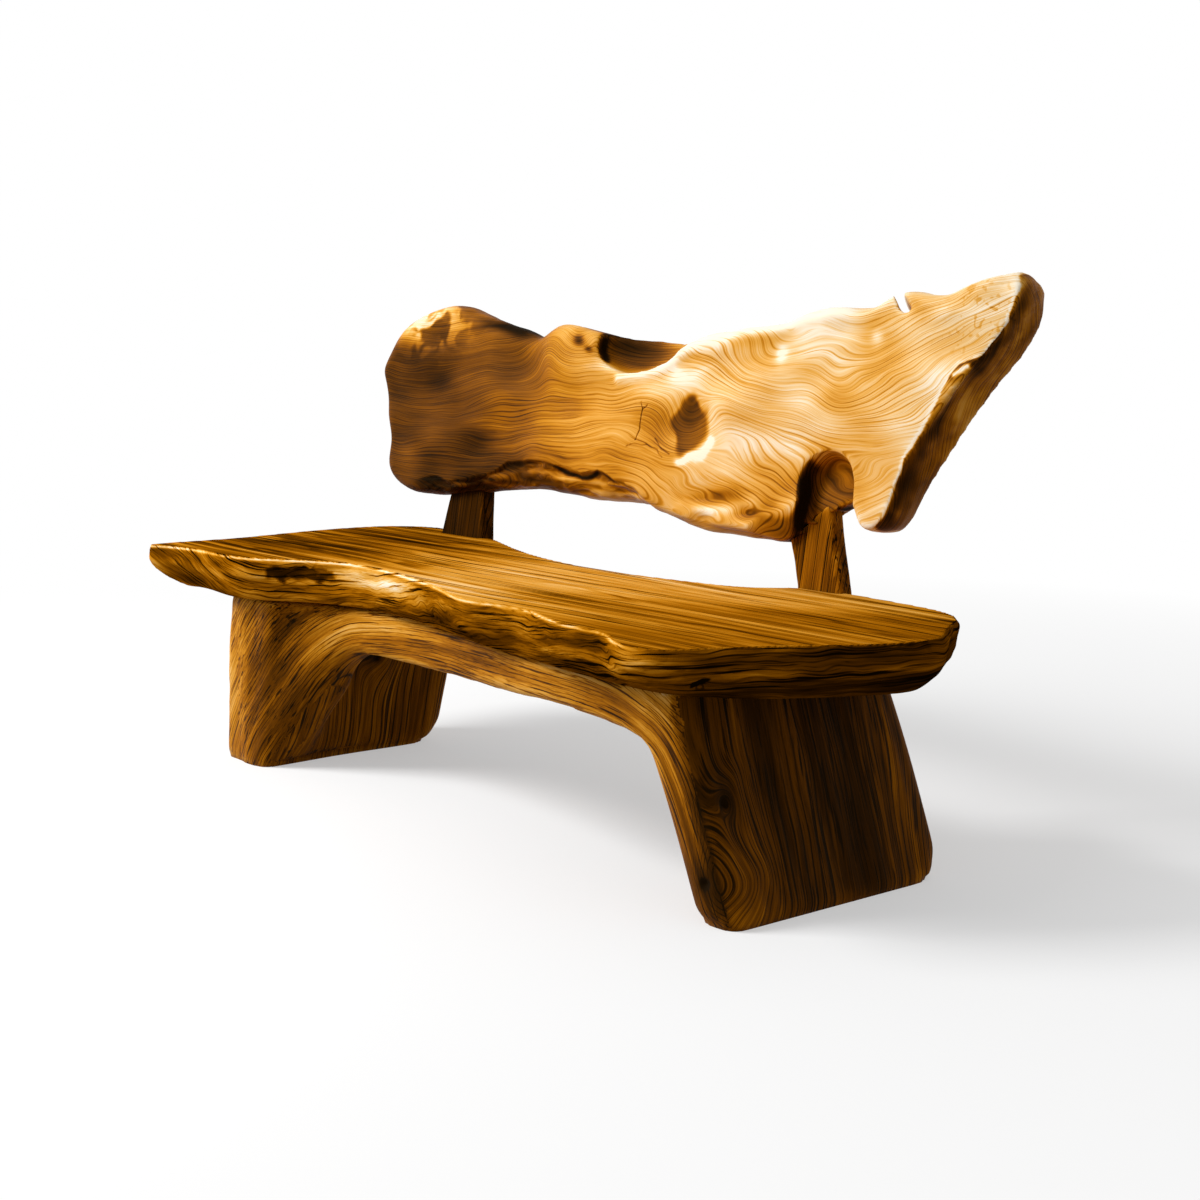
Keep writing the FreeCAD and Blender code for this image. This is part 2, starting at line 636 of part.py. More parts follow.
def finished_post(blank, x, tenon_top):
    post = blank.fuse(post_tenon(x, tenon_top, 0, 0)).removeSplitter()
    for place in screw_places():
        post = post.cut(screw_bore(*place).fuse(counterbore(*place)))
    return post.cut(Part.makeCompound(back_pegs(BORE_CLEARANCE / 2, BORE_END_GAP)))


def back_point(point):
    """Moves a drawn point of the back with the slab's length and width."""
    low = min(p[1] for p in BACK_RIM)
    x = BACK_MID_X + (point[0] - BACK_MID_X) * BACK_LENGTH / span(BACK_RIM, 0)
    return x, low + (point[1] - low) * BACK_WIDTH / span(BACK_RIM, 1)


def back_blank():
    rim = [back_point(p) for p in BACK_RIM]
    knots = chord_knots(rim)
    sections = []
    for ratios, column in ((BACK_FRONT_RATIOS, 2), (BACK_REAR_RATIOS, 3)):
        for depth, part in ratios:
            outline = inset_points(rim, [p[column] * part for p in BACK_RIM])
            sections.append(closed_wire([vec(x, BACK_THICKNESS * depth, z) for x, z in outline], knots))
    return slab_through(sections)


def recess():
    """The bevel and blind notch that clear the front of the right post."""
    mouth = [(x + RIGHT_SHIFT, z) for x, z in RECESS_MOUTH]
    floor = [(x + RIGHT_SHIFT, z) for x, z in RECESS_FLOOR]
    knots = chord_knots(mouth)
    sections = []
    for share in (-0.5, 1.0):
        points = []
        for (xm, zm), (xf, zf) in zip(mouth, floor):
            points.append(vec(xm + (xf - xm) * share, RECESS_DEPTH * share, zm + (zf - zm) * share))
        sections.append(closed_wire(points, knots))
    return Part.makeLoft(sections, True, True)


def backrest():
    slab = back_blank().cut(recess())
    x, z = back_point(HOLLOW_PLACE)
    centre = vec(x, HOLLOW_MIDDLE, z)
    halves = (HOLLOW_HALF_LENGTH, HOLLOW_HALF_DEPTH, HOLLOW_HALF_HEIGHT)
    slab = slab.cut(ellipsoid(centre, *halves, HOLLOW_ANGLE))
    x, z = back_point(EYE_PLACE)
    slab = slab.cut(dish(x, z, EYE_HALF_LENGTH, EYE_HALF_HEIGHT, EYE_DEPTH, EYE_ANGLE))
    x, z = back_point(VALLEY_PLACE)
    slab = slab.cut(dish(x, z, VALLEY_HALF_LENGTH, VALLEY_HALF_HEIGHT, VALLEY_DEPTH, VALLEY_ANGLE))
    tear = vec(-JAG_SLANT * BACK_THICKNESS, BACK_THICKNESS, 0)
    jag = [vec(x, 0, z) - tear for x, z in map(back_point, JAG)]
    slab = slab.cut(prism(jag, tear * 3))
    for blank, x, top in (
        (left_post_blank(MORTISE_CLEARANCE), LEFT_MIDDLE, LEFT_TENON_TOP),
        (right_post_blank(MORTISE_CLEARANCE), RIGHT_MIDDLE, RIGHT_TENON_TOP),
    ):
        slab = slab.cut(blank)
        slab = slab.cut(post_tenon(x, top, MORTISE_CLEARANCE, MORTISE_END_GAP))
    return slab.cut(Part.makeCompound(back_pegs(BORE_CLEARANCE / 2, BORE_END_GAP)))


def seat():
    """The live-edge slab with the posts' housings, open at its rear edge, and its bores."""
    slab = seat_blank()
    for blank in (left_post_blank, right_post_blank):
        slab = slab.cut(lean(blank(MORTISE_CLEARANCE, HOUSING_OPENING)))
    for place in screw_places():
        slab = slab.cut(lean(screw_bore(*place)))
    return slab.cut(Part.makeCompound(all_dowels(BORE_CLEARANCE / 2, BORE_END_GAP)))


def drilled_leg(leg, joint, way):
    leg = leg.cut(rail_tenon(joint, way, MORTISE_CLEARANCE, MORTISE_END_GAP))
    leg = leg.cut(Part.makeCompound(rail_pegs(BORE_CLEARANCE / 2, BORE_END_GAP)))
    return leg.cut(Part.makeCompound(all_dowels(BORE_CLEARANCE / 2, BORE_END_GAP)))


def drilled_rail(rail):
    return rail.cut(Part.makeCompound(rail_pegs(BORE_CLEARANCE / 2, BORE_END_GAP)))


def one_solid(shape):
    """The single solid inside the result of a cut."""
    return max(shape.Solids, key=lambda solid: solid.Volume)


os.makedirs("parts", exist_ok=True)

nodes = {
    "seat_slab": one_solid(seat()),
    "left_leg": one_solid(drilled_leg(left_leg(), LEFT_JOINT, -1)),
    "right_leg": one_solid(drilled_leg(right_leg(), RIGHT_JOINT, 1)),
    "front_rail": one_solid(drilled_rail(front_rail())),
    "left_post": lean(one_solid(finished_post(left_post_blank(0), LEFT_MIDDLE, LEFT_TENON_TOP))),
    "right_post": lean(one_solid(finished_post(right_post_blank(0), RIGHT_MIDDLE, RIGHT_TENON_TOP))),
    "backrest_slab": lean(one_solid(backrest())),
    "rail_pegs": Part.makeCompound(rail_pegs(0, 0)),
    "seat_dowels": Part.makeCompound(all_dowels(0, 0)),
    "backrest_pegs": lean(Part.makeCompound(back_pegs(0, 0))),
    "post_screws": lean(Part.makeCompound([lag_screw(*place) for place in screw_places()])),
    "post_washers": lean(Part.makeCompound([washer(*place) for place in screw_places()])),
    "post_plugs": lean(Part.makeCompound([plug(*place) for place in screw_places()])),
}

for name, shape in nodes.items():
    shape.translate(vec(ORIGIN_SHIFT, 0, 0))
    shape.exportStep("parts/" + name + ".step")
    print(name, shape.isValid(), len(shape.Solids), round(shape.Volume / 1e6, 3))
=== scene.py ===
import math

import bmesh
import bpy
import numpy as np
from mathutils import Matrix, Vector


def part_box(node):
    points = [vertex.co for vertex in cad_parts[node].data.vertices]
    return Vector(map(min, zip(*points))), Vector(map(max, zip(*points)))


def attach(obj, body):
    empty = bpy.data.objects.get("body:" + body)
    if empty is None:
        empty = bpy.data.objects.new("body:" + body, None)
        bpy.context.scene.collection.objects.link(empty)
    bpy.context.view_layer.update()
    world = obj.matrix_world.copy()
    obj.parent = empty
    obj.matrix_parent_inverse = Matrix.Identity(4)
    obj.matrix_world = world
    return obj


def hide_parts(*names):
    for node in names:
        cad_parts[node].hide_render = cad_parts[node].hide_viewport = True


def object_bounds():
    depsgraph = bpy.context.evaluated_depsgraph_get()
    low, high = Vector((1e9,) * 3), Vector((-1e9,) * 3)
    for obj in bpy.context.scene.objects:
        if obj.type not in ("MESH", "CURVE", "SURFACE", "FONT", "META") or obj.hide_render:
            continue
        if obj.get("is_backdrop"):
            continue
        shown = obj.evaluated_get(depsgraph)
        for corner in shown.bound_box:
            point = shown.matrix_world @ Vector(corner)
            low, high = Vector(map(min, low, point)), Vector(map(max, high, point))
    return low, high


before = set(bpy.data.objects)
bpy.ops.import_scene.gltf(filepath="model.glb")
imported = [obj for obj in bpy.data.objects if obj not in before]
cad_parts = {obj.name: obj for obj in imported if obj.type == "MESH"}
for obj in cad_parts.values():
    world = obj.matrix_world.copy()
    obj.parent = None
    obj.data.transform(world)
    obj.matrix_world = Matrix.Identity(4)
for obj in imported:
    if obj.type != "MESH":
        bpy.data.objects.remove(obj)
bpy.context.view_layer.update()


# The base: two slab legs and an arched rail under the front of the seat, cut from one crooked limb of
# teak, so that the fibres climb the left leg's haunch, run along the rail and turn down the right leg.
# The rail is tenoned and pegged into the legs, and the whole base is sanded round and oiled.
MM = 0.001
BASE_VOXEL = 5 * MM
LEFT_JOINT_X = -461 * MM
RIGHT_JOINT_X = 545 * MM
PAST_THE_ENDS = 2.0
FOOT_FLAT = 4 * MM
FOOT_FREE = 30 * MM

# The underside of haunch, rail and corner in the front view, carried on below the floor: x and height
ARCH_LINE = np.array([
    (-640, -120), (-597, -2), (-502, 120), (-421, 226), (-321, 262), (390, 285), (601, 265), (668, 180),
    (757, -2), (830, -150),
]) * MM

# The front face of the base from above, waisted under the seat: x and y
BASE_FRONT = np.array([
    (-680, -277), (-545, -247), (-400, -190), (-250, -178), (-65, -193), (215, -246), (520, -274),
    (700, -277),
]) * MM

# Where the broad faces of the legs begin along the bench, and how squarely they stand across it
RIGHT_FACE = (600 * MM, 680 * MM)
LEFT_FACE = (-460 * MM, -500 * MM)
SQUARE_ON = (0.5, 0.9)

# How far the skin has to turn to count as an outer, inner or rear face of a leg
LEFT_OUTER_TURN = -0.6
LEFT_INNER_TURN = 0.8
RIGHT_OUTER_TURN = 0.55
REAR_TURN = 0.6

# The corner between the left leg and its haunch, sanded rounder than the rest: place and reach
INNER_CORNER = ((-500, -110, 150), (150, 150, 260))

# Knots of the legs: place, reach of the rings that bend round it, and how far they bend
LEG_KNOTS = [((747, -227, 184), 36, 26), ((757, -276, 66), 74, 52), ((-560, -10, 205), 46, 30)]
LEG_KNOT_ZONE = 60
LEG_KNOT_PIT = 8
LEG_KNOT_CORE = 9

# A painted shadow of the seat on the left leg's front, and a painted patch of light at its left edge
# Then paler wood at the right leg's front corner, and of the right leg's outer face alone: place, reach and
# amount
LEG_SPOTS_AND_PAINTED_LIGHT = [
    ((-545, -260, 200), (105, 60, 120), -0.4), ((-700, -274, 150), (60, 60, 120), 0.4),
    ((640, -274, 300), (70, 60, 120), 0.3),
]
OUTER_SPOTS = [((770, 150, 120), (300, 22, 170), 0.25), ((768, -250, 80), 90, 0.25)]
# How much darker the right leg's outer face is, as heartwood and as painted shade
OUTER_HEART_AND_SHADE = 0.55


def skin_over(names, voxel):
    """One closed skin over the named nodes, fine enough to carve."""
    joined = bmesh.new()
    for name in names:
        joined.from_mesh(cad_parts[name].data)
    bmesh.ops.remove_doubles(joined, verts=joined.verts, dist=0.01 * MM)
    blank = bpy.data.objects.new("blank", bpy.data.meshes.new("blank"))
    joined.to_mesh(blank.data)
    joined.free()
    bpy.context.scene.collection.objects.link(blank)
    wrap = blank.modifiers.new("skin", "REMESH")
    wrap.mode = "VOXEL"
    wrap.voxel_size = voxel
    skin = bpy.data.meshes.new_from_object(blank.evaluated_get(bpy.context.evaluated_depsgraph_get()))
    bpy.data.objects.remove(blank)
    return skin


def finer(mesh, chosen):
    """Divides the faces between the chosen points, for detail smaller than the skin's own mesh."""
    work = bmesh.new()
    work.from_mesh(mesh)
    faces = [face for face in work.faces if all(chosen[v.index] for v in face.verts)]
    edges = list(dict.fromkeys(edge for face in faces for edge in face.edges))
    bmesh.ops.subdivide_edges(work, edges=edges, cuts=1, use_grid_fill=True)
    work.to_mesh(mesh)
    work.free()


def read(items, field, kind=np.float32, width=3):
    """One field of a mesh's points, edges, faces or corners, a row for each."""
    values = np.empty(len(items) * width, kind)
    items.foreach_get(field, values)
    return values.reshape(-1, width)


def points_of(mesh):
    """Where the points of a skin lie, in metres."""
    return read(mesh.vertices, "co").astype(float)


def normals_of(mesh):
    """Which way the skin faces at each point."""
    return read(mesh.vertices, "normal").astype(float)


def corners_of(mesh):
    """At each corner of the faces, its point and which way its face looks."""
    point = read(mesh.loops, "vertex_index", np.int32, 1).ravel()
    count = read(mesh.polygons, "loop_total", np.int32, 1).ravel()
    return point, np.repeat(read(mesh.polygons, "normal"), count, 0)


def place(mesh, points):
    """Moves the points of a skin."""
    mesh.vertices.foreach_set("co", points.astype(np.float32).ravel())
    mesh.update()


def carved(mesh, points, height):
    """Raises the skin by a height in millimetres, or cuts into it, and gives its new points."""
    points = points + normals_of(mesh) * (height * MM)[:, None]
    place(mesh, points)
    return points


def eased(mesh, values, rounds, hold=None):
    """Values at the points drawn towards those of their neighbours, except where they are held."""
    ends = read(mesh.edges, "vertices", np.int32, 2)
    count = np.bincount(ends.ravel(), minlength=len(values))[:, None]
    free = 1.0 if hold is None else 1.0 - hold[:, None]
    for _ in range(rounds):
        total = np.empty_like(values)
        for axis in range(values.shape[1]):
            column = values[:, axis]
            total[:, axis] = np.bincount(ends[:, 0], column[ends[:, 1]], len(values))
            total[:, axis] += np.bincount(ends[:, 1], column[ends[:, 0]], len(values))
        values = values + 0.5 * free * (total / count - values)
    return values


def hollow_of(mesh, points, rounds):
    """How far the carved skin dips below its smoothed self, in millimetres: hollows are positive."""
    return ((eased(mesh, points, rounds) - points) * normals_of(mesh)).sum(1) / MM


def swells(points, size, seed):
    """Smooth random swells between -1 and 1, each about as large as size, in millimetres, on each axis."""
    cells = points / (np.asarray(size, float) * MM)
    low = np.floor(cells).astype(np.int64)
    part = cells - low
    part = part * part * (3 - 2 * part)
    total = np.zeros(len(points))

    # Each corner of a cell has its own fixed value, mixed from its place and the seed
    for corner in np.ndindex(2, 2, 2):
        weight = np.prod(np.where(corner, part, 1 - part), axis=1)
        key = (low + corner) @ np.array([73856093, 19349663, 83492791]) + seed * 2654435
        key = (key ^ (key >> 13)) * 1274126177 & 0x7FFFFFFF
        total += weight * ((key ^ (key >> 15)) % 65536 / 32767.5 - 1)
    return total


def strayed(points, size, amount, seed):
    """Points moved at random by up to the amount, in millimetres, so that what they draw is ragged."""
    return points + amount * MM * np.stack([swells(points, size, seed + i) for i in range(3)], 1)


def step(values, low, high):
    """Rises softly from 0 at low to 1 at high, or falls if high is the lower one."""
    share = np.clip((values - low) / (high - low), 0, 1)
    return share * share * (3 - 2 * share)


def band(values, middle, width):
    """1 where a distance is the middle one, fading out over the width, both in millimetres."""
    return np.exp(-((values - middle * MM) / (width * MM)) ** 2)


def blob(points, centre, reach):
    """A soft round spot that fades out at its reach, in millimetres, along each axis."""
    away = (points - np.asarray(centre) * MM) / (np.asarray(reach) * MM)
    return np.exp(-(away ** 2).sum(1))


def spots(points, table):
    """Soft spots added up: place, reach and amount of each."""
    return sum(amount * blob(points, centre, reach) for centre, reach, amount in table)


def inside(points, table):
    """Which points lie well inside the soft spots."""
    return spots(points, table) > 0.4


def rounded(line):
    """A line with its corners cut round."""
    for _ in range(3):
        cut = np.stack([line[:-1] * 0.75 + line[1:] * 0.25, line[:-1] * 0.25 + line[1:] * 0.75], 1)
        line = np.concatenate([line[:1], cut.reshape(-1, 2), line[-1:]])
    return line


def follow(points, line):
    """How far along a line each point lies, and how far to its left."""
    best = np.full(len(points), np.inf)
    along = np.zeros(len(points))
    aside = np.zeros(len(points))
    travelled = 0.0
    for start, end in zip(line, line[1:]):
        way = end - start
        length = np.hypot(*way)
        offset = points - start
        share = np.clip(offset @ way / length ** 2, 0, 1)
        gap = offset - share[:, None] * way
        distance = np.hypot(gap[:, 0], gap[:, 1])
        nearer = distance < best
        best = np.where(nearer, distance, best)
        along = np.where(nearer, travelled + share * length, along)
        side = np.sign(way[0] * offset[:, 1] - way[1] * offset[:, 0])
        aside = np.where(nearer, distance * side, aside)
        travelled += length
    return along, aside


def dress(mesh, grain, ring, tone, domain="POINT"):
    """Keeps with the skin where it lies in the fibres, in the growth rings and in its tone: the wood's own
    shades with painted shade and light.
    """
    for name, kind, where, field, values in (
        ("grain", "FLOAT_VECTOR", domain, "vector", grain),
        ("ring", "FLOAT", domain, "value", ring),
        ("tone", "FLOAT", "POINT", "value", tone),
    ):
        kept = mesh.attributes.new(name, kind, where)
        kept.data.foreach_set(field, values.astype(np.float32).ravel())
    mesh.polygons.foreach_set("use_smooth", np.ones(len(mesh.polygons), bool))


def linear(hex_colour):
    """An sRGB hex colour in the linear values that materials take."""
    parts = [int(hex_colour[i:i + 2], 16) / 255 for i in (1, 3, 5)]
    return [c / 12.92 if c <= 0.04045 else ((c + 0.055) / 1.055) ** 2.4 for c in parts] + [1.0]


def add(tree, kind, settings, inputs):
    """A node with its settings, and for each input a value or the output that feeds it."""
    node = tree.nodes.new(kind)
    for name, value in settings.items():
        setattr(node, name, value)
    for name, value in inputs.items():
        if isinstance(value, bpy.types.NodeSocket):
            tree.links.new(value, node.inputs[name])
        else:
            node.inputs[name].default_value = value
    return node


# Teak from the black of its bark and pores, over brown heartwood and amber, to worn sapwood
TEAK_SHADES = (
    (0.0, "#120800"), (0.2, "#3a1e00"), (0.38, "#6e3d00"), (0.52, "#a46204"), (0.64, "#cf8a1f"),
    (0.76, "#e6ab4e"), (0.88, "#f4cf93"), (1.0, "#fff2da"),
)
OIL_TINT = "#ffc070"
FIBRE_DEPTH = 0.3
PORE_DEPTH = 0.1


def oiled_teak(name, ring_spacing, ring_depth, streak_depth, dash_depth, roughness, shine):
    """Teak sanded and oiled: thin dark growth rings and mineral streaks over amber, fine open pores along
    the fibres, and a low sheen that takes the colour of the fibres under the oil."""
    material = bpy.data.materials.new(name)
    material.use_nodes = True
    tree = material.node_tree
    surface = tree.nodes["Principled BSDF"]
    grain = add(tree, "ShaderNodeAttribute", {"attribute_name": "grain"}, {}).outputs["Vector"]
    ring = add(tree, "ShaderNodeAttribute", {"attribute_name": "ring"}, {}).outputs["Fac"]
    tone = add(tree, "ShaderNodeAttribute", {"attribute_name": "tone"}, {}).outputs["Fac"]

    # Noise drawn out along the fibres: length and width in millimetres, and detail. Real teak pores are a
    # third of a millimetre wide, and the last three are drawn coarser to show at this distance.
    flecks = []
    for along, across, detail in (
        (900, 20, 3), (320, 60, 2), (260, 60, 2), (160, 3, 3), (600, 5, 2), (70, 1.6, 1),
    ):
        stretch = (1 / (along * MM), 1 / (across * MM), 1 / (across * MM))
        spot = add(tree, "ShaderNodeVectorMath", {"operation": "MULTIPLY"}, {0: grain, 1: stretch})
        noise = {"Vector": spot.outputs[0], "Scale": 1.0, "Detail": detail}
        flecks.append(add(tree, "ShaderNodeTexNoise", {}, noise).outputs["Fac"])
    streak, wander, patch, fibre, dash, pore = flecks

    # Rings that wander, as thin lines that are clear in some patches and faint in others
    times = {"operation": "MULTIPLY_ADD"}
    rings = add(tree, "ShaderNodeMath", {"operation": "DIVIDE"}, {0: ring, 1: ring_spacing * MM}).outputs[0]
    rings = add(tree, "ShaderNodeMath", times, {0: wander, 1: 1.8, 2: rings}).outputs[0]
    rings = add(tree, "ShaderNodeMath", {"operation": "PINGPONG"}, {0: rings, 1: 0.5}).outputs[0]
    soft = {"interpolation_type": "SMOOTHSTEP"}
    line = add(tree, "ShaderNodeMapRange", soft, {0: rings, 1: 0.02, 2: 0.16, 3: 1.0, 4: 0.0}).outputs[0]
    clear = add(tree, "ShaderNodeMapRange", soft, {0: patch, 1: 0.38, 2: 0.62, 3: 0.1, 4: 1.0}).outputs[0]
    line = add(tree, "ShaderNodeMath", {"operation": "MULTIPLY"}, {0: line, 1: clear}).outputs[0]
    dash = add(tree, "ShaderNodeMapRange", soft, {0: dash, 1: 0.56, 2: 0.68, 3: 0.0, 4: 1.0}).outputs[0]
    pore = add(tree, "ShaderNodeMapRange", soft, {0: pore, 1: 0.58, 2: 0.72, 3: 0.0, 4: 1.0}).outputs[0]

    # The shade: the tone, wood with painted shade and light, lifted by pale streaks and fibres and darkened
    # by the thin lines
    middle = 0.5 - 0.5 * streak_depth - 0.5 * FIBRE_DEPTH
    shade = add(tree, "ShaderNodeMath", times, {0: tone, 1: 0.5, 2: middle}).outputs[0]
    for layer, depth in (
        (streak, streak_depth), (fibre, FIBRE_DEPTH), (line, -ring_depth), (dash, -dash_depth),
        (pore, -PORE_DEPTH),
    ):
        shade = add(tree, "ShaderNodeMath", times, {0: layer, 1: depth, 2: shade}).outputs[0]
    colour = add(tree, "ShaderNodeValToRGB", {}, {"Fac": shade})
    stops = colour.color_ramp.elements
    for _ in TEAK_SHADES[2:]:
        stops.new(0.5)
    for stop, (position, hex_colour) in zip(stops, TEAK_SHADES):
        stop.position = position
        stop.color = linear(hex_colour)

    # Lines and dashes lie a little deeper than the fibres, and the darkest wood is dry bark
    relief = add(tree, "ShaderNodeMath", times, {0: line, 1: -0.8, 2: fibre}).outputs[0]
    relief = add(tree, "ShaderNodeMath", {"operation": "SUBTRACT"}, {0: relief, 1: dash}).outputs[0]
    bump = add(tree, "ShaderNodeBump", {}, {"Strength": 0.35, "Distance": 0.8 * MM, "Height": relief})
    dry = add(tree, "ShaderNodeMapRange", {}, {0: tone, 1: -0.8, 2: 0.2, 3: 0.8, 4: roughness}).outputs[0]
    tree.links.new(colour.outputs["Color"], surface.inputs["Base Color"])
    tree.links.new(dry, surface.inputs["Roughness"])
    tree.links.new(bump.outputs["Normal"], surface.inputs["Normal"])
    surface.inputs["Specular IOR Level"].default_value = shine
    surface.inputs["Specular Tint"].default_value = linear(OIL_TINT)
    return material


# Sanded round and oiled: strong rings and dashes, with a low sheen on the bends
base_teak = oiled_teak(
    "oiled_teak_base", ring_spacing=7, ring_depth=0.3, streak_depth=0.5, dash_depth=0.36, roughness=0.55,
    shine=0.08,
)

base = skin_over(["left_leg", "front_rail", "right_leg"], BASE_VOXEL)
points = points_of(base)
sole = points[:, 2] < FOOT_FLAT
inner_corner = step(blob(points, *INNER_CORNER), 0.1, 0.6)
points = eased(base, points, rounds=26)
points = eased(base, points, rounds=160, hold=1 - inner_corner)
points[sole, 2] = 0
place(base, points)
for _ in range(2):
    finer(base, inside(points_of(base), [(centre, LEG_KNOT_ZONE, 1) for centre, _, _ in LEG_KNOTS]))
points = points_of(base)
x, y, z = points.T
along, aside = follow(points[:, [0, 2]], rounded(ARCH_LINE))
inward = y - np.interp(x, *rounded(BASE_FRONT).T)
limb = np.stack([along, aside, inward], 1)

# The broad faces of the legs stand across the limb, and there the fibres run upright
upright = np.stack([z, y, x / 10], 1)
sideways = normals_of(base)[:, 0]
broad = step(sideways, *SQUARE_ON) * step(x, *RIGHT_FACE)
broad += step(abs(sideways), *SQUARE_ON) * step(x, *LEFT_FACE)


def along_fibres(size, seed):
    """Swells of the base drawn out along its fibres, on the limb and on the broad faces of the legs."""
    return swells(limb, size, seed) * (1 - broad) + swells(upright, size, seed) * broad


# Broad swells, long hollows and narrow flutes, and a pit in each knot
carve = 4.0 * swells(points, (190, 150, 190), 3) + 2.4 * along_fibres((260, 60, 60), 4)
carve += 1.4 * along_fibres((240, 16, 16), 5)
for centre, _, _ in LEG_KNOTS:
    carve -= 6 * blob(points, centre, LEG_KNOT_PIT)
points = carved(base, points, carve * step(z, 0, FOOT_FREE))

# The rings of the limb lie round its heart and bend at the knots
x, y, z = points.T
normals = normals_of(base)
bent = 9 * swells(points, (300, 170, 300), 8) + 2.5 * swells(points, (170, 100, 170), 9)
bends = strayed(points, 60, 16, 12)
ring = aside + 0.9 * (inward - 220 * MM) ** 2 + 0.18 * inward + (bent + spots(bends, LEG_KNOTS)) * MM

# Shades run along the fibres and knots are darker; hollows take painted shade, swells a painted highlight.
tone = 0.3 * along_fibres((420, 60, 80), 10) + 0.2 * along_fibres((260, 13, 13), 13)
tone = 0.02 + tone * (1 - 0.5 * broad)
for centre, reach, _ in LEG_KNOTS:
    tone -= 0.9 * blob(points, centre, LEG_KNOT_CORE) + 0.3 * blob(bends, centre, 0.5 * reach)
tone += np.clip(-0.08 * hollow_of(base, points, rounds=30), -0.3, 0.3)
# The right leg's outer face is darker heartwood, deepened by painted shade
outer_face = step(x, *RIGHT_FACE) * step(normals[:, 0], 0.1, 0.6)
# With the wood's spots come the painted shadow of the seat and the painted light on the left leg
tone += outer_face * (spots(points, OUTER_SPOTS) - OUTER_HEART_AND_SHADE) + spots(points, LEG_SPOTS_AND_PAINTED_LIGHT)
# Painted shade on the left leg's inner face, under the seat
inner_face_painted_shade = step(x, -300 * MM, -500 * MM) * step(normals[:, 0], 0.4, 0.8)
tone -= 0.15 * inner_face_painted_shade

# Upright rings on the broad faces, which part at the knots, and on the left leg's rear edge
upright[:, 1] += (3 * bent + 4 * swells(points, (60, 36, 110), 14)) * MM - 0.12 * z
for centre, reach, lift in LEG_KNOTS:
    near = blob(bends, centre, reach)
    upright[:, 1] -= near * (0.8 * (y - centre[1] * MM) + 2 * lift * MM)
edgewise = points[:, [2, 0, 1]] * (1, 1, 0.1)
edgewise[:, 1] += (3 * bent + 4 * swells(points, (36, 60, 110), 15)) * MM

# Each face keeps its own fibres up to the arris. On the limb the streaks are drawn shorter.
corner, facing = corners_of(base)
left = x[corner] < LEFT_JOINT_X
right = x[corner] > RIGHT_JOINT_X
on_broad = left & ((facing[:, 0] < LEFT_OUTER_TURN) | (facing[:, 0] > LEFT_INNER_TURN))
on_broad |= right & (facing[:, 0] > RIGHT_OUTER_TURN)
on_rear = left & (facing[:, 1] > REAR_TURN)
flat_rings = [0.5 * upright[corner, 1], 0.5 * edgewise[corner, 1]]
ring = np.select([on_broad, on_rear], flat_rings, ring[corner])
grain = limb[corner] * (2.5, 1, 1)
grain[on_rear] = edgewise[corner][on_rear]
grain[on_broad] = upright[corner][on_broad]
dress(base, grain, ring, tone, "CORNER")


def show(mesh, name, material):
    """Puts a finished mesh on the bench."""
    mesh.materials.clear()
    mesh.materials.append(material)
    piece = bpy.data.objects.new(name, mesh)
    bpy.context.scene.collection.objects.link(piece)
    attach(piece, "root")
    return piece


def piece_between(mesh, low, high, name, material):
    """The part of a carved skin between two upright joints, closed at each joint."""
    cut = bmesh.new()
    cut.from_mesh(mesh)
    for joint, way in ((low, -1), (high, 1)):
        found = bmesh.ops.bisect_plane(
            cut, geom=cut.verts[:] + cut.edges[:] + cut.faces[:], plane_co=(joint, 0, 0),
            plane_no=(way, 0, 0), clear_outer=True,
        )
        loop = [e for e in found["geom_cut"] if isinstance(e, bmesh.types.BMEdge)]
        if loop:
            bmesh.ops.edgenet_fill(cut, edges=loop)
        for edge in loop:
            edge.smooth = False
    bmesh.ops.triangulate(cut, faces=[f for f in cut.faces if len(f.verts) > 4])
    part = bpy.data.meshes.new(name)
    cut.to_mesh(part)
    cut.free()
    return show(part, name, material)


for name, node, low, high in (
    ("carved_left_leg", "left_leg", -PAST_THE_ENDS, LEFT_JOINT_X),
    ("carved_front_rail", "front_rail", LEFT_JOINT_X, RIGHT_JOINT_X),
    ("carved_right_leg", "right_leg", RIGHT_JOINT_X, PAST_THE_ENDS),
):
    leg = piece_between(base, low, high, name, base_teak)
    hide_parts(node)


# The seat: one thick teak slab, planed flat on top, with both long edges left as the tree grew and only
# sanded. It sits on dowels in the tops of the legs, and its rear edge is housed for the posts.
SEAT_VOXEL = 5 * MM
SEAT_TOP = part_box("seat_slab")[1].z
ARRIS_ZONE = 14 * MM
PLANED_TURN = 0.97

# Knots in the front edge: place, reach and how far the rings bend
SEAT_KNOTS = [((-464, -255, 412), 36, 20), ((778, -308, 381), 9, 8)]
SEAT_KNOT_ZONE = 40

# Shades of the planed top along the bench, from the left end: x and tone
TOP_SHADES = np.array([
    (-950, -0.12), (-600, -0.1), (-350, 0.16), (-100, 0.46), (300, 0.46), (600, 0.34), (950, 0.2),
]) * (MM, 1)

# The stretch of the front edge where a patch of light is painted pale: place and reach
PAINTED_LIGHT_ON_EDGE = ((-240, -212, 412), (160, 60, 28))

# Planed and oiled: straight dark dashes on a matt top, with faint rings
seat_teak = oiled_teak(
    "oiled_teak_seat", ring_spacing=8, ring_depth=0.16, streak_depth=0.55, dash_depth=0.46, roughness=0.55,
    shine=0.0,
)

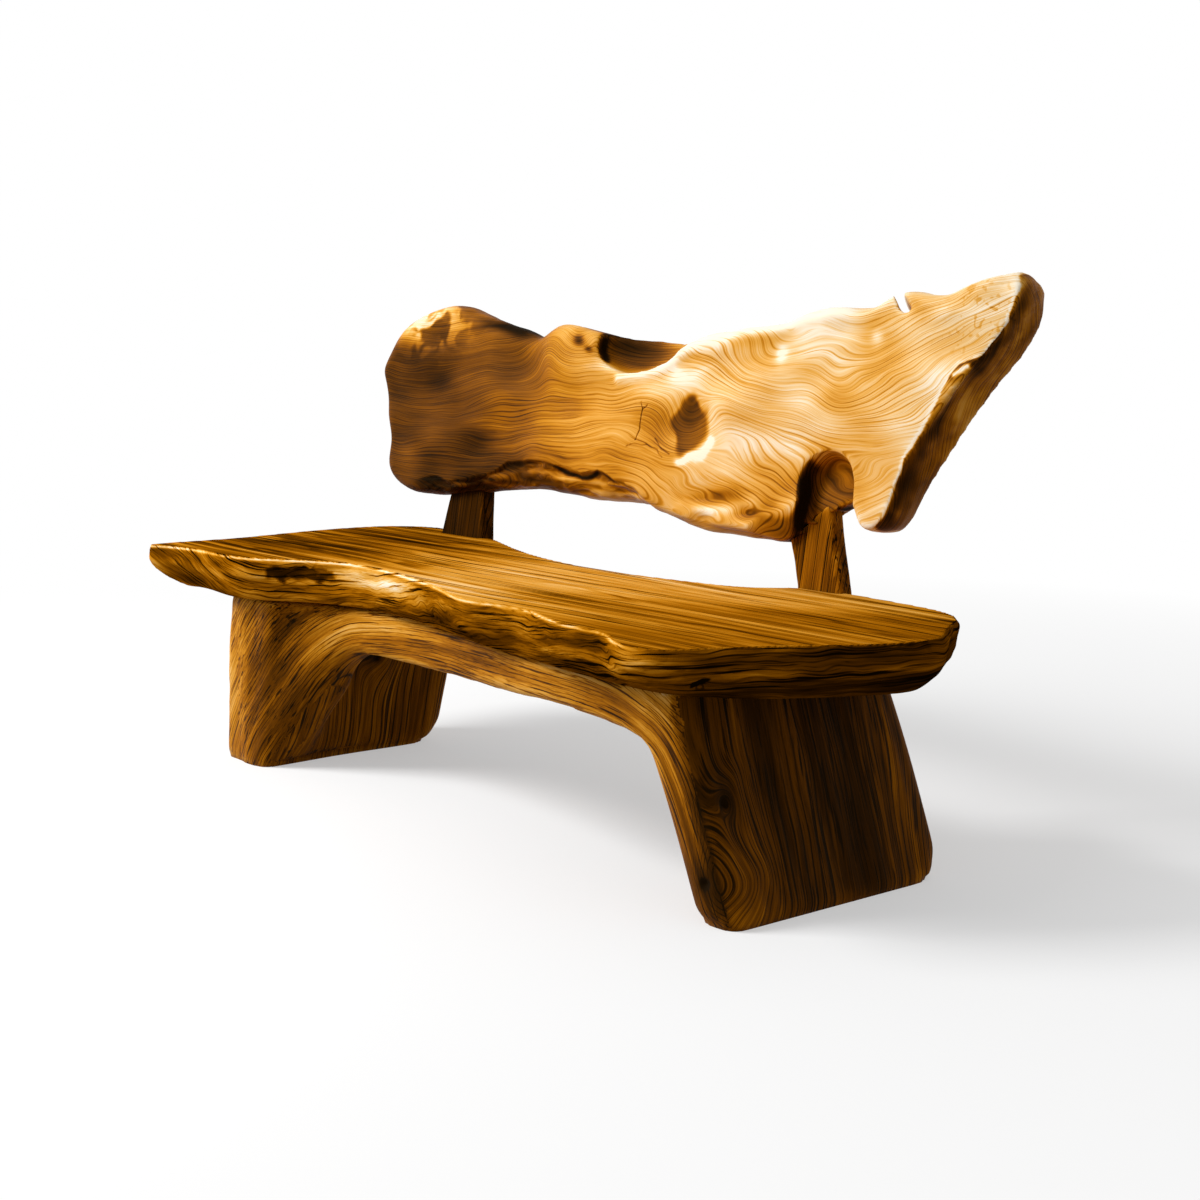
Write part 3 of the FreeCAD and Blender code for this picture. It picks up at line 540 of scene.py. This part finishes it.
seat = skin_over(["seat_slab"], SEAT_VOXEL)
points = points_of(seat)
flat = (points[:, 2] > SEAT_TOP - 0.4 * SEAT_VOXEL).astype(float)
place(seat, eased(seat, points, rounds=5, hold=flat))
for _ in range(2):
    points = points_of(seat)
    knots = inside(points, [(centre, SEAT_KNOT_ZONE, 1) for centre, _, _ in SEAT_KNOTS])
    arris = (points[:, 2] > SEAT_TOP - ARRIS_ZONE) & (normals_of(seat)[:, 2] < 0.98) & (points[:, 1] < 0)
    finer(seat, knots | arris)

# The live edge keeps its swells and furrows, and the top and underside stay flat
points = points_of(seat)
edge = step(SEAT_TOP - points[:, 2], 2 * MM, 16 * MM)
edge *= step(1 - abs(normals_of(seat)[:, 2]), 0.15, 0.5)
carve = 4.5 * swells(points, (150, 150, 34), 21) + 2.2 * swells(points, (70, 70, 15), 22)
carve += swells(points, (34, 34, 9), 23)
for centre, reach, _ in SEAT_KNOTS:
    carve -= 5 * blob(points, centre, 0.5 * reach)
points = carved(seat, points, carve * edge)
x, y, z = points.T
below_top = SEAT_TOP - z

# On the planed top the fibres run along the bench. Along the live edge they waver, with shorter streaks.
warp = (14 * swells(points, (520, 130, 400), 24) + 5 * swells(points, (260, 60, 200), 25)) * MM
top_grain = points + np.stack([0 * warp, warp, 0.3 * warp], 1)
top_ring = 0.1 * top_grain[:, 1] + 12 * MM * swells(points, (700, 160, 400), 33)
waves = 10 * swells(points, (260, 260, 60), 28) + 5 * swells(points, (90, 90, 30), 29)
waves = (waves + 3 * swells(points, (34, 34, 18), 35)) * MM
slanted = below_top + 0.08 * x + 0.9 * np.minimum(x + 450 * MM, 0) ** 2
edge_grain = np.stack([4 * x, slanted + waves, y / 45], 1)
edge_ring = 0.8 * slanted + waves + spots(points, SEAT_KNOTS) * MM

# The top is brown at its left end and amber along the middle, with painted shade over its front right corner
top = np.interp(x + 0.5 * warp, *TOP_SHADES.T)
top += 0.16 * swells(top_grain, (560, 34, 60), 26) + 0.14 * swells(points, (300, 90, 100), 27)
top -= 0.22 * step(0.45 * x - y + 3 * warp, 170 * MM, 260 * MM) * step(x, 50 * MM, 300 * MM)
top += 0.55 * swells(top_grain, (300, 12, 60), 34) * step(x, -200 * MM, -600 * MM)

# The live edge: painted shade in its furrows and highlight on swells, darker downwards and to the right
live = -0.08 + 0.3 * swells(points, (220, 220, 30), 30) + 0.24 * swells(points, (80, 80, 16), 31)
live += np.clip(-0.1 * hollow_of(seat, points, rounds=24), -0.4, 0.25)
live -= 0.2 * step(below_top, 30 * MM, 80 * MM)
live -= 0.2 * step(x, 620 * MM, 800 * MM) + 0.22 * step(x, 820 * MM, 920 * MM)
# A painted patch of light on the front edge
live += 1.1 * blob(points, *PAINTED_LIGHT_ON_EDGE)
# A painted highlight along the upper arris of the front edge
live += 0.85 * band(below_top, 3, 2.5) * step(x, 750 * MM, 650 * MM) * step(y, 0, -100 * MM)

# Ragged dark burl round the knots
bends = strayed(strayed(points, (50, 50, 24), 16, 32), (14, 14, 10), 6, 36)
for centre, reach, _ in SEAT_KNOTS:
    burl = blob(bends, centre, (2.4 * reach, 1.8 * reach, 0.7 * reach))
    live -= 0.9 * step(burl + 0.4 * swells(bends, (26, 26, 13), 38), 0.4, 0.7)
side = 1 - step(normals_of(seat)[:, 2], 0.5, 0.9)
tone = top * (1 - side) + live * side

corner, facing = corners_of(seat)
on_top = facing[:, 2] > PLANED_TURN
grain = np.where(on_top[:, None], top_grain[corner], edge_grain[corner])
ring = np.where(on_top, top_ring[corner], edge_ring[corner])
dress(seat, grain, ring, tone, "CORNER")
slab = show(seat, "live_edge_seat", seat_teak)
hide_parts("seat_slab")


# The posts: two short split teak posts, rough down their fibres. Their feet stand in housings in the
# seat's rear edge, held by lag screws, and their tenons go up into the back slab.
POST_VOXEL = 3 * MM
BACK_LEAN = math.radians(10)
BACK_FOOT = np.array((9, 218, 520)) * MM

# Split along the fibres: coarse dark streaks and hardly any sheen
post_teak = oiled_teak(
    "split_teak_posts", ring_spacing=7, ring_depth=0.36, streak_depth=0.7, dash_depth=0.5, roughness=0.6,
    shine=0.03,
)


def leaning(points):
    """Places in the frame of the leaning back: along the bench, through the slab, and up the slab."""
    x, y, z = (points - BACK_FOOT).T
    through = y * math.cos(BACK_LEAN) - z * math.sin(BACK_LEAN)
    up = y * math.sin(BACK_LEAN) + z * math.cos(BACK_LEAN)
    return np.stack([x, through, up], 1)


# Each post's tone: the left post is painted far darker, for its wood and as painted shade from the back above
for name, node, shade, seed in (
    ("split_left_post", "left_post", -0.8, 41),
    ("split_right_post", "right_post", -0.2, 51),
):
    post = skin_over([node], POST_VOXEL)
    points = eased(post, points_of(post), rounds=6)
    place(post, points)
    local = leaning(points)
    carve = 2.2 * swells(local, (34, 34, 260), seed) + 1.0 * swells(local, (12, 12, 160), seed + 1)
    points = carved(post, points, carve)
    local = leaning(points)
    grain = local[:, [2, 0, 1]]
    ring = 0.8 * local[:, 0] + 0.5 * local[:, 1] + 4 * MM * swells(local, (60, 60, 150), seed + 2)
    # Painted shade in the hollows and a painted highlight on the swells
    tone = shade + np.clip(-0.25 * hollow_of(post, points, rounds=12), -0.4, 0.3)
    tone += 0.25 * swells(local, (30, 30, 200), seed + 3)
    dress(post, grain, ring, tone)
    piece = show(post, name, post_teak)
    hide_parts(node)


# The back: a carved teak root slab with live edges. It leans on the posts' tenons, pegged from behind, and
# its face is sanded over every swell and hollow, so the growth rings show as contour lines.
BACK_VOXEL = 4.4 * MM
THROUGH = np.array((0, math.cos(BACK_LEAN), -math.sin(BACK_LEAN)))
TOP_SPACING = 10 * MM

# Places on the back are given along the bench, through the slab and up the slab, in millimetres.
# The split in the upper rim, which keeps its sharp edges: place and reach
RIM_SPLIT = ((600, 40, 440), (70, 300, 50))

# Dishes in the face that are sanded rounder than the rest: place, reach and amount
DISHES = [((-430, 0, 300), (190, 40, 130), 1), ((120, 0, 198), (130, 40, 84), 1)]

# Where the skin is made finer, at the eye, the right edge and the bump beside the cleft
EYE_ZONE = [((60, 0, 190), (130, 60, 70), 1)]
RIM_ZONE = [((765, 0, 330), (60, 60, 60), 1), ((800, 0, 410), (70, 60, 70), 1)]
BUMP_ZONE = [((-225, 0, 348), (60, 60, 40), 1)]

# Where the sanded face ends above the wane of the lower left edge, with bark in the fold: along and up
BARK_FOLD = np.array([
    (-900, 0), (-845, 38), (-628, 45), (-509, 72), (-438, 100), (-302, 108), (-181, 84), (-133, 98),
    (-47, 82), (27, 41), (120, 20), (200, 0),
]) * MM
WANE_MIDDLE = -310 * MM

# The lobe of the lower edge beside the notch, with its own small ripples: place and reach
LOBE = ((230, 0, 40), (130, 60, 40))

# Places on the face that the rings bend round: place, reach and how far they bend
BACK_SWIRLS = [
    ((104, 0, 196), (84, 60, 60), 15), ((305, 0, 310), (110, 90, 70), 19),
    ((505, 0, 262), (95, 90, 60), 18), ((690, 0, 250), (130, 90, 70), 18),
    ((-240, 0, 350), (60, 60, 40), 24), ((-360, 0, 320), (90, 60, 70), -22),
]

# Shades of the face along the bench, from the left end: along and tone
FACE_SHADES = np.array([
    (-950, -0.54), (-640, -0.36), (-420, -0.06), (-200, 0.36), (100, 0.55), (500, 0.7), (860, 0.95),
]) * (MM, 1)

# Darker heart, bark and knots, paler sapwood, and painted highlights on the face: place, reach and amount
BACK_SPOTS_AND_GLINTS = [
    # Painted highlights: the lip of the cleft at -20 and 60 along, the lobe at 218, and glints at 340 and 562
    ((-20, 0, 303), (130, 60, 9), 0.5), ((-800, 0, 392), (140, 60, 50), 0.5),
    ((-480, 20, 378), (90, 80, 18), -1.3), ((60, 0, 296), (170, 60, 30), 0.4),
    ((218, 0, 49), (50, 60, 14), 0.6), ((230, 0, 84), (70, 60, 14), -0.45),
    ((-236, 0, 352), (16, 60, 12), -1.0), ((-205, 0, 340), (10, 60, 8), -0.8),
    ((299, 0, 316), (60, 60, 30), -0.25), ((340, 0, 338), (18, 60, 13), 0.6),
    ((562, 0, 358), (14, 60, 16), 0.4), ((576, 0, 341), (60, 60, 34), -0.35),
    ((500, 0, 250), (60, 60, 60), -0.2),
]

# The eye, its left corner and its brow: place and reach. The painted highlight along its lower right edge:
# along and up
EYE = ((114, 8, 203), (50, 60, 54))
EYE_CORNER = ((50, 8, 186), (66, 60, 40))
EYE_BROW = ((122, 8, 226), (40, 60, 30))
EYE_GLINT = [(172, 172), (166, 154), (142, 141), (106, 134)]

# Hairline cracks beside and under the eye: how dark, and their way along and up
BACK_CRACKS = [
    (0.7, [(-31, 237), (-26, 221), (-30, 190), (-35, 163)]), (0.5, [(-13, 232), (-26, 221)]),
    (0.4, [(20, 168), (42, 151), (72, 138)]),
    (0.3, [(-56, 150), (-26, 156), (4, 156), (37, 147), (53, 132)]),
]

# The rolled ridge under the upper rim: along and up
CREST_RIDGE = [
    (-110, 279), (6, 300), (86, 333), (164, 358), (255, 373), (342, 394), (416, 399), (474, 417),
]

# Where the sanded face ends at the bark of the right edge, and the pale chip beside it: along and up
BARK_RIM = [
    (640, 60), (647, 111), (657, 164), (689, 208), (720, 269), (756, 327), (803, 354), (840, 398),
    (845, 427), (854, 462), (856, 520),
]
RIM_CHIP = [(750, 311), (772, 326)]

# The flaked upper left end, the specked right tip, the cleft behind the crest and the notch over the
# right post: place and reach
FLAKED_END = ((-800, 0, 390), (140, 80, 60))
SPECKED_TIP = ((800, 0, 410), (80, 60, 70))
CLEFT = ((-30, 40, 378), (190, 34, 70))
NOTCH = ((440, 40, 60), (130, 40, 110))

# Sanded smooth and oiled: fine rings, hardly any dashes, and the clearest sheen on the bench
back_teak = oiled_teak(
    "carved_teak_back", ring_spacing=3.2, ring_depth=0.18, streak_depth=0.2, dash_depth=0.1, roughness=0.38,
    shine=0.07,
)


def aside_of(places, line):
    """How far places on the back lie to the left of a line drawn on its face."""
    return follow(places[:, [0, 2]], np.array(line) * MM)[1]


def beside(places, line, width):
    """1 on a line drawn on the face of the back, fading out over the width to both sides."""
    return band(aside_of(places, line), 0, width)


back = skin_over(["backrest_slab"], BACK_VOXEL)
points = points_of(back)
local = leaning(points)
points = eased(back, points, rounds=8, hold=blob(local, *RIM_SPLIT))
dished = np.clip(spots(local, DISHES), 0, 1) * step(local[:, 1], 20 * MM, 10 * MM)
points = eased(back, points, rounds=110, hold=1 - dished)
place(back, points)
for _ in range(2):
    local = leaning(points_of(back))
    along, through, up = local.T
    at_fold = (abs(up - np.interp(along, *BARK_FOLD.T)) < 26 * MM) & (along < 50 * MM)
    at_marks = inside(local, EYE_ZONE) | inside(local, RIM_ZONE) | inside(local, BUMP_ZONE)
    finer(back, (at_fold | at_marks) & (through < 30 * MM))
points = points_of(back)
points = eased(back, points, rounds=2, hold=blob(leaning(points), *RIM_SPLIT))
place(back, points)

# The zones of the slab: its face, its sides, the lobe, the wane below the fold, and the crest, which is
# measured down from the highest points along the rim
local = leaning(points)
along, through, up = local.T
normals = normals_of(back)
facing = -(normals @ THROUGH)
front = step(facing, 0.0, 0.6)
side = 1 - step(abs(facing), 0.35, 0.8)
split = blob(local, *RIM_SPLIT)
lobe = blob(local, *LOBE)
torn = strayed(local, (70, 90, 40), 12, 70)
fold = np.interp(torn[:, 0], *BARK_FOLD.T)
wane = step(fold - torn[:, 2], 0, 14 * MM) * step(through, 60 * MM, 30 * MM)
wane *= step(abs(along - WANE_MIDDLE), 460 * MM, 360 * MM)
first = along.min()
columns = np.floor((along - first) / TOP_SPACING).astype(int)
tops = np.full(columns.max() + 1, -1.0)
np.maximum.at(tops, columns, up)
from_top = np.interp(along, (np.arange(len(tops)) + 0.5) * TOP_SPACING + first, tops) - up
crest = step(from_top, 70 * MM, 20 * MM) * step(along, -200 * MM, 100 * MM) * front

# Swells over the face, rougher sides, ripples on crest, lobe and wane, the ridge and the cracks
carve = front * (8 * swells(local, (230, 400, 120), 61) + 5.5 * swells(local, (110, 300, 60), 62))
rough = 4 * swells(local, (80, 80, 60), 63) + 1.2 * swells(local, (30, 30, 26), 64)
carve += side * rough * step(through, 70 * MM, 50 * MM)
carve += crest * 5 * swells(local, (60, 200, 34), 71) + lobe * 7 * swells(local, (60, 90, 22), 78)
carve -= wane * (5 - 4 * swells(local, (60, 60, 14), 72) - 2 * swells(local, (20, 20, 7), 79))
carve += (1 - front) * 3 * swells(local, (200, 400, 60), 65)
ridge = front * beside(strayed(local, (90, 90, 40), 10, 93), CREST_RIDGE, 13)
carve += 4 * ridge
crooked = strayed(local, 14, 3, 85)
for amount, line in BACK_CRACKS:
    carve -= 1.6 * amount * front * beside(crooked, line, 1.6)
points = carved(back, points, carve * (1 - split))
local = leaning(points)
along, through, up = local.T

# The rings are cut through by the swells of the face, and the fibres follow them
flow = 6 * swells(local, (260, 200, 90), 66) + 3 * swells(local, (120, 100, 46), 67)
flow += 1.5 * swells(local, (60, 60, 26), 73)
middle = 0.19 + 0.05 * np.sin(along * 3.2)
sweep = 1.6 * np.maximum(along - 0.5, 0) ** 2
ragged = strayed(local, (90, 90, 60), 16, 74)
ring = 0.6 * through + 0.3 * (up - sweep) + 0.5 * (up - middle) ** 2 + 0.035 * along
ring += 0.3 * up * step(along, 0, -900 * MM) + (flow + spots(ragged, BACK_SWIRLS)) * MM
grain = np.stack([along, 3 * ring, 0.1 * through], 1)

# The face pales from brown at the left to pale at the right; hollows take painted shade, swells a highlight
tone = np.interp(ragged[:, 0] + 0.3 * ragged[:, 2] - 60 * MM, *FACE_SHADES.T)
tone += 0.2 * swells(local, (200, 200, 90), 68) + 0.16 * swells(local, (80, 80, 44), 69)
tone += spots(ragged, BACK_SPOTS_AND_GLINTS)
tone += np.clip(-0.1 * hollow_of(back, points, rounds=20), -0.4, 0.24)
# Painted highlights along the crest and on the rolled ridge under the rim
tone += crest * (0.1 + 0.4 * swells(local, (80, 200, 40), 76)) + 0.25 * ridge
tone -= 0.4 * step(-facing, 0.2, 0.6)

# The eye, the painted highlight below it, and the cracks
uneven = strayed(local, (34, 60, 34), 13, 88)
tone -= 0.68 * step(blob(uneven, *EYE), 0.26, 0.5) + 0.35 * blob(uneven, *EYE_CORNER)
tone -= 0.35 * step(blob(uneven, *EYE_BROW), 0.1, 0.8)
tone += 0.9 * front * beside(uneven, EYE_GLINT, 11)
for amount, line in BACK_CRACKS:
    tone -= amount * front * beside(crooked, line, 1.3)

# Flakes worn pale at the left end, and dark specks at the tip
flaked = strayed(strayed(local, 50, 20, 89), 16, 7, 92)
flakes = swells(flaked, (46, 60, 28), 80) + 0.3 * swells(flaked, (14, 20, 10), 86)
tone += blob(local, *FLAKED_END) * (1.2 * step(flakes, -0.1, 0.6) - 0.3)
specks = step(swells(strayed(local, 12, 6, 97), 7, 81), 0.3, 0.6)
tone -= 0.3 * specks * blob(local, *SPECKED_TIP)

# Streaked wood on the wane, and bark along the fold
tone -= wane * (0.08 + 0.4 * swells(local, (120, 60, 9), 77) + 0.3 * swells(local, (60, 60, 30), 87))
tone -= 1.2 * wane * band(fold - strayed(local, (40, 60, 30), 8, 82)[:, 2], 4, 5)

# Mottled bark on the right edge, a pale line where the face meets it, and the chip
rim = aside_of(strayed(local, (24, 40, 24), 4, 94), BARK_RIM)
at_rim = step(along, 600 * MM, 660 * MM) * step(through, 40 * MM, 30 * MM)
past_rim = at_rim * step(rim, 1.5 * MM, -1.5 * MM)
bark = np.maximum(side * step(normals[:, 0] + 0.2 * swells(local, 30, 95), 0.35, 0.6), past_rim)
mottle = 0.25 * swells(local, (50, 40, 50), 83) + 0.2 * swells(local, (18, 16, 18), 84)
tone += bark * (mottle - 0.75 - 0.45 * band(through, 16, 16)) + 0.35 * at_rim * band(rim, 3, 3)
chip = aside_of(strayed(local, 12, 2, 96), RIM_CHIP)
tone += at_rim * (1.5 * band(chip, 0, 4.5) - 0.5 * band(chip, 0, 11))

# Painted shade in the cleft and the notch
cleft = blob(local, *CLEFT) * step(through, 6 * MM, 20 * MM)
tone -= (1.3 - 0.9 * step(along, -150 * MM, 20 * MM)) * np.clip(1.6 * cleft, 0, 1)
notch = blob(local, *NOTCH) * step(through, 4 * MM, 12 * MM)
tone -= 0.72 * np.clip(1.6 * notch, 0, 1)
dress(back, grain, ring, tone)
slab = show(back, "carved_back_slab", back_teak)
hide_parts("backrest_slab")


# The pegs, dowels and plugs: turned hardwood, glued in and cut flush. Only the ends of the back pegs and
# the plugs over the screws show, from behind, as small rounds of end grain.
PEG_DARK = "#4a2a0a"
PEG_PALE = "#b98446"
PEG_GRAIN = 3 * MM


def turned_hardwood(name):
    """Close-grained hardwood: dark pores speckle the cut ends, which are dry and matt. The pores are drawn
    coarser than real ones, to show at this distance."""
    material = bpy.data.materials.new(name)
    material.use_nodes = True
    tree = material.node_tree
    surface = tree.nodes["Principled BSDF"]
    here = add(tree, "ShaderNodeTexCoord", {}, {}).outputs["Object"]
    spread = add(tree, "ShaderNodeVectorMath", {"operation": "MULTIPLY"}, {0: here, 1: (1 / PEG_GRAIN,) * 3})
    noise = {"Vector": spread.outputs[0], "Scale": 1.0, "Detail": 3.0}
    speck = add(tree, "ShaderNodeTexNoise", {}, noise).outputs["Fac"]
    shades = {"Factor": speck, "A": linear(PEG_DARK), "B": linear(PEG_PALE)}
    colour = add(tree, "ShaderNodeMix", {"data_type": "RGBA"}, shades)
    bump = add(tree, "ShaderNodeBump", {}, {"Strength": 0.3, "Distance": 0.3 * MM, "Height": speck})
    tree.links.new(colour.outputs["Result"], surface.inputs["Base Color"])
    tree.links.new(bump.outputs["Normal"], surface.inputs["Normal"])
    surface.inputs["Roughness"].default_value = 0.6
    return material


def finish_node(node, material):
    """Gives a carried-over node its finish."""
    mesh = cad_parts[node].data
    mesh.materials.clear()
    mesh.materials.append(material)


peg_wood = turned_hardwood("turned_hardwood_pegs")
for node in ("rail_pegs", "seat_dowels", "backrest_pegs", "post_plugs"):
    finish_node(node, peg_wood)


# The lag screws and washers: zinc-plated steel, driven from behind through the posts into the seat and
# hidden under the plugs.
ZINC_DULL = "#a0a19d"
ZINC_BRIGHT = "#dadad4"
ZINC_CLOUD = 4 * MM


def zinc_plate(name):
    """Bright zinc with a cloudy passivated film, so its gloss comes and goes in patches."""
    material = bpy.data.materials.new(name)
    material.use_nodes = True
    tree = material.node_tree
    surface = tree.nodes["Principled BSDF"]
    here = add(tree, "ShaderNodeTexCoord", {}, {}).outputs["Object"]
    spread = add(tree, "ShaderNodeVectorMath", {"operation": "MULTIPLY"}, {0: here, 1: (1 / ZINC_CLOUD,) * 3})
    noise = {"Vector": spread.outputs[0], "Scale": 1.0, "Detail": 2.0}
    cloud = add(tree, "ShaderNodeTexNoise", {}, noise).outputs["Fac"]
    shades = {"Factor": cloud, "A": linear(ZINC_DULL), "B": linear(ZINC_BRIGHT)}
    colour = add(tree, "ShaderNodeMix", {"data_type": "RGBA"}, shades)
    gloss = add(tree, "ShaderNodeMapRange", {}, {0: cloud, 1: 0.3, 2: 0.7, 3: 0.25, 4: 0.45})
    tree.links.new(colour.outputs["Result"], surface.inputs["Base Color"])
    tree.links.new(gloss.outputs[0], surface.inputs["Roughness"])
    surface.inputs["Metallic"].default_value = 1.0
    return material


zinc_steel = zinc_plate("zinc_plated_steel")
for node in ("post_screws", "post_washers"):
    finish_node(node, zinc_steel)


# The stage: a plain matt paper floor that fades into a white surround and keeps the soft shadow, under
# one large soft light from the left front.
FLOOR_HALF = 30.0
FADE_START = 1.0
FADE_END = 3.4
FLOOR_GLOW = 0.4
AMBIENT = 0.45
PAPER_LIT = "#b4b2ae"
PAPER_SEEN = "#fbfbfb"
WHITE = "#ffffff"


def seen_rays(tree):
    """1 for rays that see the background, straight or in a reflection, and 0 for those that light things."""
    rays = add(tree, "ShaderNodeLightPath", {}, {}).outputs
    larger = {"operation": "MAXIMUM"}
    mirrored = {0: rays["Is Glossy Ray"], 1: rays["Is Transmission Ray"]}
    either = add(tree, "ShaderNodeMath", larger, mirrored).outputs[0]
    return add(tree, "ShaderNodeMath", larger, {0: rays["Is Camera Ray"], 1: either}).outputs[0]


floor_mesh = bpy.data.meshes.new("floor")
corners = [(-1, -1), (1, -1), (1, 1), (-1, 1)]
floor_mesh.from_pydata([(FLOOR_HALF * x, FLOOR_HALF * y, 0) for x, y in corners], [], [(0, 1, 2, 3)])
floor = bpy.data.objects.new("floor", floor_mesh)
bpy.context.scene.collection.objects.link(floor)
floor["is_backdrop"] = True
paper = bpy.data.materials.new("white_paper_floor")
paper.use_nodes = True
tree = paper.node_tree
surface = tree.nodes["Principled BSDF"]
seen = seen_rays(tree)
shades = {"Factor": seen, "A": linear(PAPER_LIT), "B": linear(PAPER_SEEN)}
tint = add(tree, "ShaderNodeMix", {"data_type": "RGBA"}, shades)
tree.links.new(tint.outputs["Result"], surface.inputs["Base Color"])
surface.inputs["Roughness"].default_value = 0.9
surface.inputs["Specular IOR Level"].default_value = 0.0
glow = add(tree, "ShaderNodeEmission", {}, {"Color": linear(WHITE), "Strength": 1.0})
here = add(tree, "ShaderNodeTexCoord", {}, {}).outputs["Object"]
away = add(tree, "ShaderNodeVectorMath", {"operation": "LENGTH"}, {0: here}).outputs["Value"]
fading = {0: away, 1: FADE_START, 2: FADE_END, 3: FLOOR_GLOW, 4: 1.0}
fade = add(tree, "ShaderNodeMapRange", {}, fading).outputs[0]
fade = add(tree, "ShaderNodeMath", {"operation": "MULTIPLY"}, {0: fade, 1: seen}).outputs[0]
blend = add(tree, "ShaderNodeMixShader", {}, {0: fade, 1: surface.outputs[0], 2: glow.outputs[0]})
tree.links.new(blend.outputs[0], tree.nodes["Material Output"].inputs["Surface"])
floor_mesh.materials.append(paper)

world = bpy.data.worlds.new("studio")
bpy.context.scene.world = world
world.use_nodes = True
tree = world.node_tree
levels = {0: seen_rays(tree), 1: 0.0, 2: 1.0, 3: AMBIENT, 4: 1.0}
strength = add(tree, "ShaderNodeMapRange", {}, levels).outputs[0]
tree.nodes["Background"].inputs["Color"].default_value = linear(WHITE)
tree.links.new(strength, tree.nodes["Background"].inputs["Strength"])


def soft_box(name, stand, target, size, power):
    """A square studio light that faces its target."""
    lamp = bpy.data.lights.new(name, "AREA")
    lamp.size = size
    lamp.energy = power
    light = bpy.data.objects.new(name, lamp)
    x, y, z = np.array(stand) - np.array(target)
    light.location = stand
    light.rotation_euler = (math.acos(z / np.linalg.norm((x, y, z))), 0, math.atan2(y, x) + math.pi / 2)
    bpy.context.scene.collection.objects.link(light)


soft_box("key", stand=(-2.6, -3.2, 4.0), target=(0.0, 0.0, 0.5), size=2.2, power=300)

# The camera stands to the right of the front, about as high as the back's upper rim, as the photograph
# was taken
CAMERA_PLACE = (2.937, -2.274, 0.9483)
CAMERA_RIGHT = (0.63475, 0.77271, 0.0)
CAMERA_UP = (-0.11471, 0.09423, 0.98892)
CAMERA_BACK = (0.76415, -0.62772, 0.14846)
CAMERA_LENS = 59.95
CAMERA_SENSOR = 36.0
camera = bpy.data.objects.new("camera", bpy.data.cameras.new("camera"))
camera.data.lens = CAMERA_LENS
camera.data.sensor_width = CAMERA_SENSOR
axes = Matrix((CAMERA_RIGHT, CAMERA_UP, CAMERA_BACK)).transposed().to_4x4()
camera.matrix_world = Matrix.Translation(CAMERA_PLACE) @ axes
bpy.context.scene.collection.objects.link(camera)
bpy.context.scene.camera = camera
bpy.context.scene.view_settings.view_transform = "Standard"

bpy.context.view_layer.update()
low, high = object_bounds()
